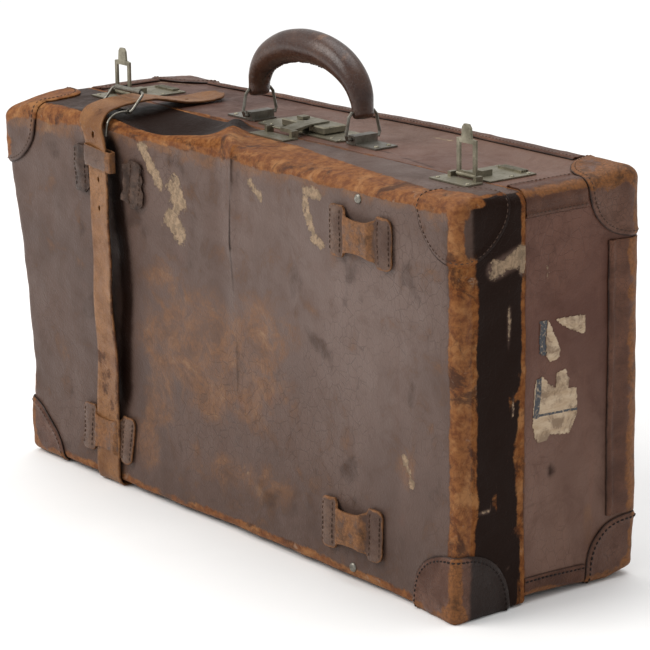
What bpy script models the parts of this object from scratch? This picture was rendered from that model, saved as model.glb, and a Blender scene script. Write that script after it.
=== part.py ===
"""An old leather suitcase, standing on its long hinged edge.

Metres, +Z up, X along the length. The lid faces -Y and turns about the bottom seam. The base faces +Y.
The origin is under the middle of the case, on the surface that it stands on.
"""

import math

import bmesh
import bpy
from mathutils import Matrix, Vector

# The case over its leather corner caps
LENGTH = 0.660
HEIGHT = 0.365
DEPTH = 0.205
LID_DEPTH = 0.075
GAP = 0.0003
TRIM = 0.0029
TRIM_ZONE = TRIM + GAP
WALL = 0.004
LINING = 0.0015
CORNER_RADIUS = 0.012
INNER_RADIUS = 0.003
CAP_RADIUS = 0.056

# Where the faces of the leather shell lie, inside the trim
SIDE_X = LENGTH / 2 - TRIM_ZONE
FRONT_Y = -DEPTH / 2 + TRIM_ZONE
BACK_Y = DEPTH / 2 - TRIM_ZONE
BOTTOM_Z = TRIM_ZONE
TOP_Z = HEIGHT - TRIM_ZONE
SEAM_Y = -DEPTH / 2 + LID_DEPTH
SEAM_GAP = 0.0005
LIP_REACH = 0.010
LIP_THICKNESS = 0.0015

# Lid hinges
HINGE_Z = 0.0016
HINGE_X = 0.235
HINGE_WIDTH = 0.040
LEAF_REACH = 0.020
KNUCKLE_RADIUS = 0.0013
HINGE_PIN_RADIUS = 0.0006

# Strap loops
LOOP_X = 0.190
LOOP_Z = (0.050, 0.308)
LOOP_WIDTH = 0.084
LOOP_HEIGHT = 0.046
LOOP_TAB = 0.020
LOOP_SPACE = 0.0056
LOOP_LEATHER = 0.0025

# Strap, keeper and buckle
STRAP_WIDTH = 0.038
STRAP_THICKNESS = 0.0026
STRAP_BOTTOM_GAP = 0.005
KEEPER_Z = 0.318
KEEPER_HEIGHT = 0.015
KEEPER_LEATHER = 0.0016
KEEPER_Y = -0.107
BUCKLE_BAR = (-0.086, 0.3664)
BUCKLE_ROLLER = (-0.071, 0.3830)
BUCKLE_HALF_WIDTH = 0.0255
BUCKLE_WIRE = 0.0014
ROLLER_RADIUS = 0.0024
PRONG_SIDE = 0.0215
PRONG_WIRE = 0.0011

# Handle
HANDLE_X = 0.0775
RING_WIRE = 0.0015
RING_BAR_Z = TOP_Z + 0.0052
RING_RISE = 0.024
RING_HALF_BOTTOM = 0.018
RING_HALF_TOP = 0.0145
GRIP_RISE = 0.050
GRIP_END_RADIUS = 0.0100
GRIP_MIDDLE_RADIUS = 0.0155

# Side catches
CATCH_X = 0.258
CATCH_AXIS_Y = SEAM_Y - 0.0035
CATCH_AXIS_Z = TOP_Z + 0.0040
HASP_WIDTH = 0.025
HASP_REACH = 0.031
HASP_TAB = 0.013
HASP_THICKNESS = 0.0022

# Centre lock
LOCK_Y = 0.004
LOCK_LENGTH = 0.150
LOCK_PLATE_WIDTH = 0.040
LOCK_CASE_SIZE = (0.064, 0.026, 0.0068)
SHEET = 0.0012
SLIDER_TRAVEL = 0.008

LEATHER_DARK = (0.085, 0.038, 0.024)
LEATHER_BROWN = (0.150, 0.070, 0.040)
LEATHER_TAN = (0.420, 0.180, 0.065)
CLOTH = (0.360, 0.300, 0.210)
STEEL = (0.300, 0.290, 0.260)
BRASS = (0.330, 0.270, 0.150)

PARTS = None
CUTTERS = None


def clear_scene():
    for obj in list(bpy.data.objects):
        bpy.data.objects.remove(obj, do_unlink=True)


def new_collection(name):
    collection = bpy.data.collections.new(name)
    bpy.context.scene.collection.children.link(collection)
    return collection


def material(name, colour, roughness=0.6, metallic=0.0):
    made = bpy.data.materials.new(name)
    made.use_nodes = True
    shader = made.node_tree.nodes["Principled BSDF"]
    shader.inputs["Base Color"].default_value = (*colour, 1.0)
    shader.inputs["Roughness"].default_value = roughness
    shader.inputs["Metallic"].default_value = metallic
    return made


def leather(obj, colour):
    obj.data.materials.append(material(obj.name + "_leather", colour, 0.6))
    return obj


def metal(obj, colour):
    obj.data.materials.append(material(obj.name + "_metal", colour, 0.45, 1.0))
    return obj


def add_object(name, mesh, cutter=False):
    obj = bpy.data.objects.new(name, mesh)
    (CUTTERS if cutter else PARTS).objects.link(obj)
    if cutter:
        obj.hide_render = True
        obj.display_type = "WIRE"
    return obj


def mesh_of(name, bm):
    mesh = bpy.data.meshes.new(name)
    bm.to_mesh(mesh)
    bm.free()
    return mesh


def box(name, low, high, cutter=False):
    low, high = Vector(low), Vector(high)
    bm = bmesh.new()
    bmesh.ops.create_cube(bm, size=1.0)
    bmesh.ops.scale(bm, vec=high - low, verts=bm.verts)
    bmesh.ops.translate(bm, vec=(high + low) / 2, verts=bm.verts)
    return add_object(name, mesh_of(name, bm), cutter)


def rod(name, centre, radius, length, axis, sides=16, cutter=False):
    """A cylinder about a world axis, X, Y or Z."""
    turn = {"X": Matrix.Rotation(math.pi / 2, 3, "Y"), "Y": Matrix.Rotation(math.pi / 2, 3, "X")}
    bm = bmesh.new()
    bmesh.ops.create_cone(
        bm, cap_ends=True, segments=sides, radius1=radius, radius2=radius, depth=length
    )
    bmesh.ops.rotate(bm, matrix=turn.get(axis, Matrix.Identity(3)), verts=bm.verts)
    bmesh.ops.translate(bm, vec=centre, verts=bm.verts)
    return add_object(name, mesh_of(name, bm), cutter)


def ball(name, centre, radius):
    bm = bmesh.new()
    bmesh.ops.create_uvsphere(bm, u_segments=32, v_segments=16, radius=radius)
    bmesh.ops.translate(bm, vec=centre, verts=bm.verts)
    return add_object(name, mesh_of(name, bm), cutter=True)


def as_mesh(curve_object, cutter=False):
    """The curve object as a mesh with its caps welded. The curve is removed."""
    bpy.context.view_layer.update()
    graph = bpy.context.evaluated_depsgraph_get()
    mesh = bpy.data.meshes.new_from_object(curve_object.evaluated_get(graph))
    bm = bmesh.new()
    bm.from_mesh(mesh)
    bmesh.ops.remove_doubles(bm, verts=bm.verts, dist=1e-6)
    bmesh.ops.recalc_face_normals(bm, faces=bm.faces)
    bm.to_mesh(mesh)
    bm.free()
    name = curve_object.name
    place = curve_object.matrix_world.copy()
    bpy.data.objects.remove(curve_object, do_unlink=True)
    obj = add_object(name, mesh, cutter)
    obj.matrix_world = place
    return obj


def curve_object(name, dimensions, lines, cyclic):
    data = bpy.data.curves.new(name, "CURVE")
    data.dimensions = dimensions
    for line in lines:
        spline = data.splines.new("POLY")
        spline.points.add(len(line) - 1)
        for point, place in zip(spline.points, line):
            point.co = (*place, 0.0, 1.0)[:4] if len(place) == 2 else (*place, 1.0)
        spline.use_cyclic_u = cyclic
    return data


FACING = {
    "X": (math.pi / 2, 0.0, math.pi / 2),
    "Y": (math.pi / 2, 0.0, 0.0),
    "Z": (0.0, 0.0, 0.0),
}


def extruded(name, outlines, axis, start, end, cutter=False):
    """A flat outline, with any holes, extruded along a world axis. It is drawn in YZ, XZ or XY."""
    data = curve_object(name, "2D", outlines, cyclic=True)
    data.fill_mode = "BOTH"
    data.extrude = (end - start) / 2
    obj = bpy.data.objects.new(name, data)
    PARTS.objects.link(obj)
    obj.rotation_euler = FACING[axis]
    obj.location = [(start + end) / 2 if axis == a else 0.0 for a in "XYZ"]
    return as_mesh(obj, cutter)


def tube(name, points, radius, cyclic=False, thickness=None, sides=2):
    """A round wire through points, or a grip whose thickness is given point by point."""
    data = curve_object(name, "3D", [points], cyclic)
    data.fill_mode = "FULL"
    data.bevel_depth = radius
    data.bevel_resolution = sides
    data.use_fill_caps = not cyclic
    for point, share in zip(data.splines[0].points, thickness or []):
        point.radius = share
    obj = bpy.data.objects.new(name, data)
    PARTS.objects.link(obj)
    return as_mesh(obj)


def boolean(obj, operation, other):
    modifier = obj.modifiers.new(operation.lower() + "_" + other.name, "BOOLEAN")
    modifier.operation = operation
    modifier.object = other
    return obj


def soften(obj, width, segments=2):
    bevel = obj.modifiers.new("soften", "BEVEL")
    bevel.width = width
    bevel.segments = segments
    bevel.limit_method = "ANGLE"
    bevel.angle_limit = math.radians(50)
    return obj


def arc(centre, radius, start, end, steps):
    angles = [start + (end - start) * i / steps for i in range(steps + 1)]
    return [(centre[0] + radius * math.cos(a), centre[1] + radius * math.sin(a)) for a in angles]


def rounded_rectangle(low, high, radius, steps=4):
    corners = [
        ((high[0] - radius, high[1] - radius), 0.0),
        ((low[0] + radius, high[1] - radius), math.pi / 2),
        ((low[0] + radius, low[1] + radius), math.pi),
        ((high[0] - radius, low[1] + radius), 3 * math.pi / 2),
    ]
    return [p for centre, a in corners for p in arc(centre, radius, a, a + math.pi / 2, steps)]


def shell_outline(inset):
    """The case's outline in XZ, this far inside the leather shell's outer face."""
    if inset <= 0.0:
        radius = CORNER_RADIUS - inset
    else:
        radius = max(INNER_RADIUS - (inset - WALL), 0.0015)
    low = (-SIDE_X + inset, BOTTOM_Z + inset)
    high = (SIDE_X - inset, TOP_Z - inset)
    return rounded_rectangle(low, high, radius)


def smooth(points, steps):
    """Points on a Catmull-Rom curve through the given points."""
    ends = [2 * Vector(points[0]) - Vector(points[1]), 2 * Vector(points[-1]) - Vector(points[-2])]
    line = [ends[0], *map(Vector, points), ends[1]]
    found = []
    for a, b, c, d in zip(line, line[1:], line[2:], line[3:]):
        for i in range(steps):
            t = i / steps
            bend = (2 * a - 5 * b + 4 * c - d) * t**2 + (3 * b - a - 3 * c + d) * t**3
            found.append(0.5 * (2 * b + (c - a) * t + bend))
    return found + [line[-2]]


def ribbon_outline(path, thickness):
    """A strip's cut edge: the path offset by half its thickness to each side."""
    sides = ([], [])
    for i, point in enumerate(path):
        along = (path[min(i + 1, len(path) - 1)] - path[max(i - 1, 0)]).normalized()
        across = Vector((-along.y, along.x)) * thickness / 2
        sides[0].append(tuple(point + across))
        sides[1].append(tuple(point - across))
    return sides[0] + sides[1][::-1]


def rounded_path(corners, steps=4):
    """A path through corners given as (across, up, cut): each is rounded off from this far before it."""
    places = [Vector(corner[:2]) for corner in corners]
    path = [places[0]]
    for before, corner, after, (_, _, cut) in zip(places, places[1:], places[2:], corners[1:]):
        start = corner + (before - corner).normalized() * cut
        end = corner + (after - corner).normalized() * cut
        for i in range(steps + 1):
            t = i / steps
            path.append(start * (1 - t) ** 2 + corner * 2 * t * (1 - t) + end * t**2)
    return path + [places[-1]]


def strap_piece(name, corners):
    outline = ribbon_outline(rounded_path(corners), STRAP_THICKNESS)
    start, end = -LOOP_X - STRAP_WIDTH / 2, -LOOP_X + STRAP_WIDTH / 2
    return leather(extruded(name, [outline], "X", start, end), LEATHER_TAN)


def make_half(name, face_y, seam_y, panel_name):
    """The four walls and the flat panel of the lid or the base."""
    sign = 1 if face_y > seam_y else -1
    panel_inner = face_y - sign * WALL
    rim = seam_y + sign * SEAM_GAP
    wall_end = panel_inner - sign * GAP
    walls = extruded(
        name, [shell_outline(0.0), shell_outline(WALL)], "Y", min(rim, wall_end), max(rim, wall_end)
    )
    leather(walls, LEATHER_BROWN)
    panel = extruded(
        panel_name, [shell_outline(0.0)], "Y", min(panel_inner, face_y), max(panel_inner, face_y)
    )
    leather(panel, LEATHER_BROWN)
    return rim


def make_lining(name, face_y, mouth_y):
    """A tray of lining cloth that hugs the walls and the panel, open at its mouth."""
    sign = 1 if face_y > mouth_y else -1
    floor = face_y - sign * (WALL + GAP)
    tray = extruded(
        name, [shell_outline(WALL + GAP)], "Y", min(floor, mouth_y), max(floor, mouth_y)
    )
    inside = floor - sign * LINING
    beyond = mouth_y - sign * 0.01
    hollow = extruded(
        name + "_hollow",
        [shell_outline(WALL + GAP + LINING)],
        "Y",
        min(inside, beyond),
        max(inside, beyond),
        cutter=True,
    )
    boolean(tray, "DIFFERENCE", hollow)
    return leather(tray, CLOTH)


def make_rim_lip():
    """The stiff strip inside the base's mouth that keeps the lid in line."""
    outer = shell_outline(WALL + 0.0011)
    inner = shell_outline(WALL + 0.0011 + LIP_THICKNESS)
    lip = extruded("base_rim_lip", [outer, inner], "Y", SEAM_Y - LIP_REACH, SEAM_Y + 0.012)
    return leather(lip, LEATHER_DARK)


def make_corner_caps(half, face_y):
    """Four leather caps, each over three faces of a corner."""
    sign = 1 if face_y > 0 else -1
    outer_y = sign * DEPTH / 2
    reach = sign * (DEPTH / 2 - CAP_RADIUS - 0.006)
    for vertical, z in (("bottom", 0.0), ("top", HEIGHT)):
        for side, x in (("left", -LENGTH / 2), ("right", LENGTH / 2)):
            name = f"{half}_corner_{vertical}_{side}"
            outer = rounded_rectangle(
                (-LENGTH / 2, 0.0), (LENGTH / 2, HEIGHT), CORNER_RADIUS + TRIM_ZONE
            )
            cap = extruded(name, [outer], "Y", min(reach, outer_y), max(reach, outer_y))
            inner_y = face_y + sign * GAP
            beyond = reach - sign * 0.02
            core = extruded(
                name + "_core",
                [shell_outline(-GAP)],
                "Y",
                min(beyond, inner_y),
                max(beyond, inner_y),
                cutter=True,
            )
            boolean(cap, "DIFFERENCE", core)
            boolean(cap, "INTERSECT", ball(name + "_ball", (x, outer_y, z), CAP_RADIUS))
            leather(cap, LEATHER_DARK)


def make_back_binding():
    """Folded strips along the four back edges, between the corner caps."""
    reach = 0.024
    clear = CAP_RADIUS + 0.002
    outer_y = DEPTH / 2
    inner_y = outer_y - reach

    def angle(name, low, high, cut_low, cut_high):
        strip = box(name, low, high)
        boolean(strip, "DIFFERENCE", box(name + "_cut", cut_low, cut_high, cutter=True))
        leather(strip, LEATHER_BROWN)

    face = BACK_Y + GAP
    for side, sign in (("left", -1), ("right", 1)):
        outer = sign * LENGTH / 2
        wall = sign * (SIDE_X + GAP)
        inner = outer - sign * reach
        past = outer - sign * 2 * reach
        angle(
            f"base_binding_{side}",
            (min(outer, inner), inner_y, clear),
            (max(outer, inner), outer_y, HEIGHT - clear),
            (min(wall, past), inner_y - 0.01, 0.0),
            (max(wall, past), face, HEIGHT),
        )
    ends = LENGTH / 2 - clear
    angle(
        "base_binding_top",
        (-ends, inner_y, HEIGHT - reach),
        (ends, outer_y, HEIGHT),
        (-LENGTH, inner_y - 0.01, HEIGHT - 2 * reach),
        (LENGTH, face, TOP_Z + GAP),
    )
    past_strap = -LOOP_X + STRAP_WIDTH / 2 + 0.002
    angle(
        "base_binding_bottom",
        (past_strap, inner_y, 0.0),
        (ends, outer_y, reach),
        (-LENGTH, inner_y - 0.01, BOTTOM_Z - GAP),
        (LENGTH, face, 2 * reach),
    )


def loop_section(x, face_y):
    """A loop's top-hat section in XY: two tabs on the face and a bridge over the strap's space."""
    sign = 1 if face_y > 0 else -1
    half, inner = LOOP_WIDTH / 2, LOOP_WIDTH / 2 - LOOP_TAB
    near = GAP
    tab = GAP + LOOP_LEATHER
    under = LOOP_SPACE
    over = LOOP_SPACE + LOOP_LEATHER
    steps = [
        (-half, near),
        (-inner, near),
        (-inner + 0.001, under),
        (inner - 0.001, under),
        (inner, near),
        (half, near),
        (half, tab),
        (inner + 0.0025, tab),
        (inner + 0.0005, over),
        (-inner - 0.0005, over),
        (-inner - 0.0025, tab),
        (-half, tab),
    ]
    return [(x + a, face_y + sign * b) for a, b in steps]


def make_loop(name, x, z, face_y):
    """An H-shaped leather loop, its band narrowed by a round bite above and below."""
    sign = 1 if face_y > 0 else -1
    low, high = z - LOOP_HEIGHT / 2, z + LOOP_HEIGHT / 2
    loop = extruded(name, [loop_section(x, face_y)], "Z", low, high)
    for edge, place in (("low", low), ("high", high)):
        outward = -1 if edge == "low" else 1
        centre = (x, face_y + sign * LOOP_SPACE, place + outward * 0.020)
        bite = rod(f"{name}_bite_{edge}", centre, 0.026, 0.02, "Y", 32, cutter=True)
        boolean(loop, "DIFFERENCE", bite)
    return leather(loop, LEATHER_BROWN)


def make_loops():
    for vertical, z in zip(("lower", "upper"), LOOP_Z):
        for side, x in (("left", -LOOP_X), ("right", LOOP_X)):
            make_loop(f"back_loop_{vertical}_{side}", x, z, BACK_Y)
            if (vertical, side) != ("upper", "left"):
                make_loop(f"front_loop_{vertical}_{side}", x, z, FRONT_Y)
    make_torn_tabs()


def make_torn_tabs():
    """The upper left loop's band is gone, and its two sewn tabs are left."""
    z = LOOP_Z[1]
    for name, centre in (("outer", -LOOP_X - 0.032), ("inner", -LOOP_X + 0.032)):
        tab = box(
            "torn_loop_tab_" + name,
            (centre - LOOP_TAB / 2, FRONT_Y - GAP - LOOP_LEATHER, z - LOOP_HEIGHT / 2),
            (centre + LOOP_TAB / 2, FRONT_Y - GAP, z + LOOP_HEIGHT / 2),
        )
        leather(tab, LEATHER_BROWN)


def make_strap():
    """The one strap that is left: up the lid, through the buckle, and under and up the base."""
    half = GAP + STRAP_THICKNESS / 2
    front = FRONT_Y - half
    under = BOTTOM_Z - half
    top = TOP_Z + half
    back = BACK_Y + half
    roller_y = BUCKLE_ROLLER[0]
    strap_piece(
        "strap_front",
        [
            (SEAM_Y - STRAP_BOTTOM_GAP, under, 0.0),
            (front, under, 0.0021),
            (front, 0.160, 0.030),
            (KEEPER_Y, 0.280, 0.014),
            (KEEPER_Y, 0.340, 0.005),
            (-0.1130, 0.3560, 0.008),
            (-0.1020, 0.3705, 0.009),
            (roller_y - 0.0006, 0.3728, 0.0),
        ],
    )
    strap_piece(
        "strap_tongue_end",
        [
            (roller_y + 0.0006, 0.3728, 0.0),
            (-0.056, 0.3726, 0.006),
            (-0.018, top, 0.008),
            (0.036, top, 0.0),
        ],
    )
    strap_piece(
        "strap_back",
        [
            (SEAM_Y + STRAP_BOTTOM_GAP, under, 0.0),
            (back, under, 0.0021),
            (back, 0.338, 0.0),
        ],
    )


def make_keeper():
    x, y = -LOOP_X, KEEPER_Y
    clear_x, clear_y = STRAP_WIDTH / 2 + 0.0006, STRAP_THICKNESS / 2 + 0.0006
    inner = rounded_rectangle((x - clear_x, y - clear_y), (x + clear_x, y + clear_y), 0.0008, 2)
    reach_x, reach_y = clear_x + KEEPER_LEATHER, clear_y + KEEPER_LEATHER
    outer = rounded_rectangle((x - reach_x, y - reach_y), (x + reach_x, y + reach_y), 0.0020, 2)
    low, high = KEEPER_Z - KEEPER_HEIGHT / 2, KEEPER_Z + KEEPER_HEIGHT / 2
    leather(extruded("strap_keeper", [outer, inner], "Z", low, high), LEATHER_TAN)


def make_buckle():
    """A wire frame with a loose roller on its upper bar and a prong that hangs from its lower bar."""
    bar, top = Vector(BUCKLE_BAR), Vector(BUCKLE_ROLLER)
    across = BUCKLE_HALF_WIDTH
    length = (top - bar).length
    outline = rounded_rectangle((-across, 0.0), (across, length), 0.004, 3)
    along = (top - bar).normalized()
    points = [(-LOOP_X + a, *(bar + along * b)) for a, b in outline]
    metal(tube("buckle_frame", points, BUCKLE_WIRE, cyclic=True), STEEL)
    roller = rod(
        "buckle_roller", (-LOOP_X, *top), ROLLER_RADIUS, 2 * across - 0.010, "X", 16
    )
    bore = rod(
        "buckle_roller_bore", (-LOOP_X, *top), BUCKLE_WIRE + 0.0004, 3 * across, "X", 16, cutter=True
    )
    boolean(roller, "DIFFERENCE", bore)
    metal(roller, STEEL)
    make_prong()


def make_prong():
    """An eye round the lower bar and a bent wire that hangs over the front edge."""
    x = -LOOP_X + PRONG_SIDE
    y, z = BUCKLE_BAR
    eye_inner = BUCKLE_WIRE + 0.0004
    eye = rod("buckle_prong", (x, y, z), eye_inner + 0.0012, 0.0020, "X", 16)
    start = (-eye_inner - 0.0005, 0.0005)
    route = [start, (-0.010, 0.0006), (-0.018, -0.0014), (-0.0245, -0.0080), (-0.0268, -0.0200)]
    path = [(x, y + p.x, z + p.y) for p in smooth(route, 3)]
    wire = tube("prong_wire", path, PRONG_WIRE)
    PARTS.objects.unlink(wire)
    CUTTERS.objects.link(wire)
    wire.hide_render = True
    wire.display_type = "WIRE"
    boolean(eye, "UNION", wire)
    boolean(eye, "DIFFERENCE", rod("prong_bore", (x, y, z), eye_inner, 0.01, "X", 16, cutter=True))
    metal(eye, STEEL)


def make_lid_hinges():
    """Three-knuckle hinges under the bottom seam, each with two leaves and a pin."""
    half = HINGE_WIDTH / 2
    middle = HINGE_WIDTH / 6
    leaf_low, leaf_high = HINGE_Z + 0.00013, HINGE_Z + 0.00107
    for side, x in (("left", -HINGE_X), ("right", HINGE_X)):
        axis = (x, SEAM_Y, HINGE_Z)
        pin = rod(f"hinge_pin_{side}", axis, HINGE_PIN_RADIUS, HINGE_WIDTH, "X", 12)
        metal(pin, STEEL)
        bore = rod(
            f"hinge_bore_{side}", axis, HINGE_PIN_RADIUS + GAP, 2 * HINGE_WIDTH, "X", 12, cutter=True
        )
        for body, sign in (("base", 1), ("lid", -1)):
            name = f"hinge_leaf_{body}_{side}"
            ends = (SEAM_Y + sign * 0.0004, SEAM_Y + sign * LEAF_REACH)
            leaf = box(name, (x - half, min(ends), leaf_low), (x + half, max(ends), leaf_high))
            knuckles = rod(
                name + "_knuckle", axis, KNUCKLE_RADIUS, HINGE_WIDTH, "X", 16, cutter=True
            )
            boolean(leaf, "UNION", knuckles)
            keep = middle - GAP
            if body == "base":
                notch_low = (x - middle, SEAM_Y - 0.01, -0.01)
                notch_high = (x + middle, SEAM_Y + KNUCKLE_RADIUS + 0.0006, 0.01)
                notch = box(name + "_notch", notch_low, notch_high, cutter=True)
                boolean(leaf, "DIFFERENCE", notch)
            else:
                for edge, low, high in (
                    ("a", x - half - 0.01, x - keep),
                    ("b", x + keep, x + half + 0.01),
                ):
                    notch = box(
                        f"{name}_notch_{edge}",
                        (low, SEAM_Y - KNUCKLE_RADIUS - 0.0006, -0.01),
                        (high, SEAM_Y + 0.01, 0.01),
                        cutter=True,
                    )
                    boolean(leaf, "DIFFERENCE", notch)
            boolean(leaf, "DIFFERENCE", bore)
            metal(leaf, STEEL)


def make_handle():
    """Two dee rings in staples, and a padded grip that hangs on both."""
    z = RING_BAR_Z
    for side, x in (("left", -HANDLE_X), ("right", HANDLE_X)):
        out = -1 if x < 0 else 1
        block = box(
            f"handle_staple_{side}", (x - 0.005, -0.013, TOP_Z + GAP), (x + 0.005, 0.013, z + 0.0034)
        )
        plate_ends = sorted((x - out * 0.009, x + out * 0.034))
        plate = box(
            f"staple_plate_{side}",
            (plate_ends[0], -0.0125, TOP_Z + GAP),
            (plate_ends[1], 0.0125, TOP_Z + GAP + 0.0014),
            cutter=True,
        )
        boolean(block, "UNION", plate)
        bore = rod(f"staple_bore_{side}", (x, 0, z), RING_WIRE + 0.0004, 0.06, "Y", 16, cutter=True)
        boolean(block, "DIFFERENCE", bore)
        metal(block, STEEL)
        low, high = RING_HALF_BOTTOM, RING_HALF_TOP
        ring = [
            (x, -low, z),
            (x, low, z),
            (x, low + 0.0012, z + 0.004),
            (x, high + 0.0012, z + RING_RISE - 0.004),
            (x, high - 0.002, z + RING_RISE),
            (x, -high + 0.002, z + RING_RISE),
            (x, -high - 0.0012, z + RING_RISE - 0.004),
            (x, -low - 0.0012, z + 0.004),
        ]
        metal(tube(f"handle_ring_{side}", ring, RING_WIRE, cyclic=True, sides=1), STEEL)
    make_grip(z + RING_RISE)


def make_grip(end_z):
    """A padded leather grip, thick in the middle, whose ends wrap the rings' upper bars."""
    count = 15
    points = []
    shares = []
    for i in range(count):
        t = -1 + 2 * i / (count - 1)
        rise = max(0.0, 1 - abs(t) ** 2.4)
        points.append((HANDLE_X * math.sin(t * math.pi / 2), 0.0, end_z + GRIP_RISE * rise))
        swell = max(0.0, 1 - (abs(t) / 0.72) ** 3)
        radius = GRIP_END_RADIUS + (GRIP_MIDDLE_RADIUS - GRIP_END_RADIUS) * swell
        shares.append(radius / GRIP_MIDDLE_RADIUS)
    points = [(-HANDLE_X, 0.0, end_z - 0.0055)] + points + [(HANDLE_X, 0.0, end_z - 0.0055)]
    shares = [0.62 * shares[0]] + shares + [0.62 * shares[-1]]
    grip = tube("handle_grip", points, GRIP_MIDDLE_RADIUS, thickness=shares)
    for side, x in (("left", -HANDLE_X), ("right", HANDLE_X)):
        eye = rod(f"grip_bore_{side}", (x, 0, end_z), RING_WIRE + 0.0006, 0.06, "Y", 12, cutter=True)
        boolean(grip, "DIFFERENCE", eye)
    leather(grip, LEATHER_DARK)


def make_catches():
    for side, x in (("left", -CATCH_X), ("right", CATCH_X)):
        make_catch_plate(side, x)
        make_catch_hasp(side, x)
        make_catch_receiver(side, x)


def make_catch_plate(side, x):
    """The lid's plate, with a knuckle at each end of its back edge and the hasp's pin through them."""
    y, z = CATCH_AXIS_Y, CATCH_AXIS_Z
    plate = box(
        f"catch_plate_{side}",
        (x - 0.024, y - 0.022, TOP_Z + GAP),
        (x + 0.024, y - 0.0030, TOP_Z + GAP + SHEET),
    )
    for edge, offset in (("a", -0.0165), ("b", 0.0165)):
        ear = box(
            f"catch_ear_{side}_{edge}",
            (x + offset - 0.002, y - 0.0060, TOP_Z + GAP),
            (x + offset + 0.002, y + 0.0016, z + 0.0016),
            cutter=True,
        )
        boolean(plate, "UNION", ear)
    pin = rod(f"catch_pin_{side}", (x, y, z), 0.0008, 0.0355, "X", 12, cutter=True)
    boolean(plate, "UNION", pin)
    metal(plate, STEEL)


def make_catch_hasp(side, x):
    """A loop of strap steel that stands up from its pin, with a thumb tab on its far bar."""
    y, z = CATCH_AXIS_Y, CATCH_AXIS_Z
    half = HASP_WIDTH / 2
    top = z + HASP_REACH
    outline = [
        (x - half, z - 0.0018),
        (x + half, z - 0.0018),
        (x + half, top),
        (x + 0.0065, top + 0.0010),
        (x + 0.0055, top + HASP_TAB - 0.003),
        (x + 0.0030, top + HASP_TAB),
        (x - 0.0030, top + HASP_TAB),
        (x - 0.0055, top + HASP_TAB - 0.003),
        (x - 0.0065, top + 0.0010),
        (x - half, top),
    ]
    window = [
        (x - half + 0.004, z + 0.0035),
        (x + half - 0.004, z + 0.0035),
        (x + half - 0.004, top - 0.0035),
        (x - half + 0.004, top - 0.0035),
    ]
    low = y - HASP_THICKNESS / 2
    hasp = extruded(f"catch_hasp_{side}", [outline, window], "Y", low, low + HASP_THICKNESS)
    barrel = rod(f"hasp_barrel_{side}", (x, y, z), 0.0020, HASP_WIDTH, "X", 12, cutter=True)
    boolean(hasp, "UNION", barrel)
    bore = rod(f"hasp_bore_{side}", (x, y, z), 0.0012, 0.05, "X", 12, cutter=True)
    boolean(hasp, "DIFFERENCE", bore)
    metal(hasp, STEEL)


def make_catch_receiver(side, x):
    """The base's plate: a stud that stands in the folded hasp's window, and a ribbed stop behind."""
    base = TOP_Z + GAP
    front = SEAM_Y + 0.0015
    plate = box(
        f"catch_receiver_{side}", (x - 0.024, front, base), (x + 0.024, 0.026, base + SHEET)
    )
    stud = box(
        f"catch_stud_{side}",
        (x - 0.0050, CATCH_AXIS_Y + 0.012, base),
        (x + 0.0050, CATCH_AXIS_Y + 0.024, base + 0.0062),
        cutter=True,
    )
    boolean(plate, "UNION", stud)
    for i in range(4):
        low = 0.0165 + 0.0023 * i
        rib = box(
            f"catch_rib_{side}_{i}",
            (x - 0.015, low, base),
            (x + 0.015, low + 0.0013, base + 0.0032),
            cutter=True,
        )
        boolean(plate, "UNION", rib)
    metal(plate, STEEL)


def make_lock():
    """A long plate with pointed ends, a lock case, and a hasp on the lid that drops over it."""
    y, base = LOCK_Y, TOP_Z + GAP
    half, wide = LOCK_LENGTH / 2 - 0.016, LOCK_PLATE_WIDTH / 2
    outline = [
        (-half, y - wide),
        (half, y - wide),
        (half + 0.004, y - 0.010),
        (half + 0.004, y + 0.010),
        (half, y + wide),
        (-half, y + wide),
        (-half - 0.004, y + 0.010),
        (-half - 0.004, y - 0.010),
    ]
    plate = extruded("lock_plate", [outline], "Z", base, base + SHEET)
    metal(plate, BRASS)
    floor = base + SHEET + GAP
    size_x, size_y, size_z = LOCK_CASE_SIZE
    top = floor + size_z
    case = box(
        "lock_case", (-size_x / 2, y - size_y / 2, floor), (size_x / 2, y + size_y / 2, top)
    )
    soften(case, 0.0010, 1)
    cavity = ((-0.028, y - 0.005, floor - 0.001), (0.028, y + 0.005, top - 0.0014))
    boolean(case, "DIFFERENCE", box("lock_cavity", *cavity, cutter=True))
    slot = ((-0.023, y - 0.0016, floor), (-0.006, y + 0.0016, top + 0.001))
    boolean(case, "DIFFERENCE", box("lock_button_slot", *slot, cutter=True))
    mouth = ((0.0, y - size_y, floor - 0.001), (0.010, y + 0.0095, top + 0.001))
    boolean(case, "DIFFERENCE", box("lock_mouth", *mouth, cutter=True))
    metal(case, BRASS)
    make_slider(y, floor, top)
    make_spring(y, floor)
    make_lock_hasp(y, top)


def make_slider(y, floor, top):
    """The bolt, its stem through the slot and the button on it, in one piece."""
    low = floor + 0.0022
    bolt = box("lock_slider", (-0.020, y - 0.0040, low), (-0.0010, y + 0.0040, low + 0.0022))
    stem = box(
        "slider_stem",
        (-0.0170, y - 0.0010, low + 0.0005),
        (-0.0140, y + 0.0010, top + 0.0010),
        cutter=True,
    )
    boolean(bolt, "UNION", stem)
    button = box(
        "slider_button",
        (-0.0200, y - 0.0042, top + 0.0004),
        (-0.0110, y + 0.0042, top + 0.0028),
        cutter=True,
    )
    boolean(bolt, "UNION", button)
    metal(bolt, BRASS)


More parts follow.
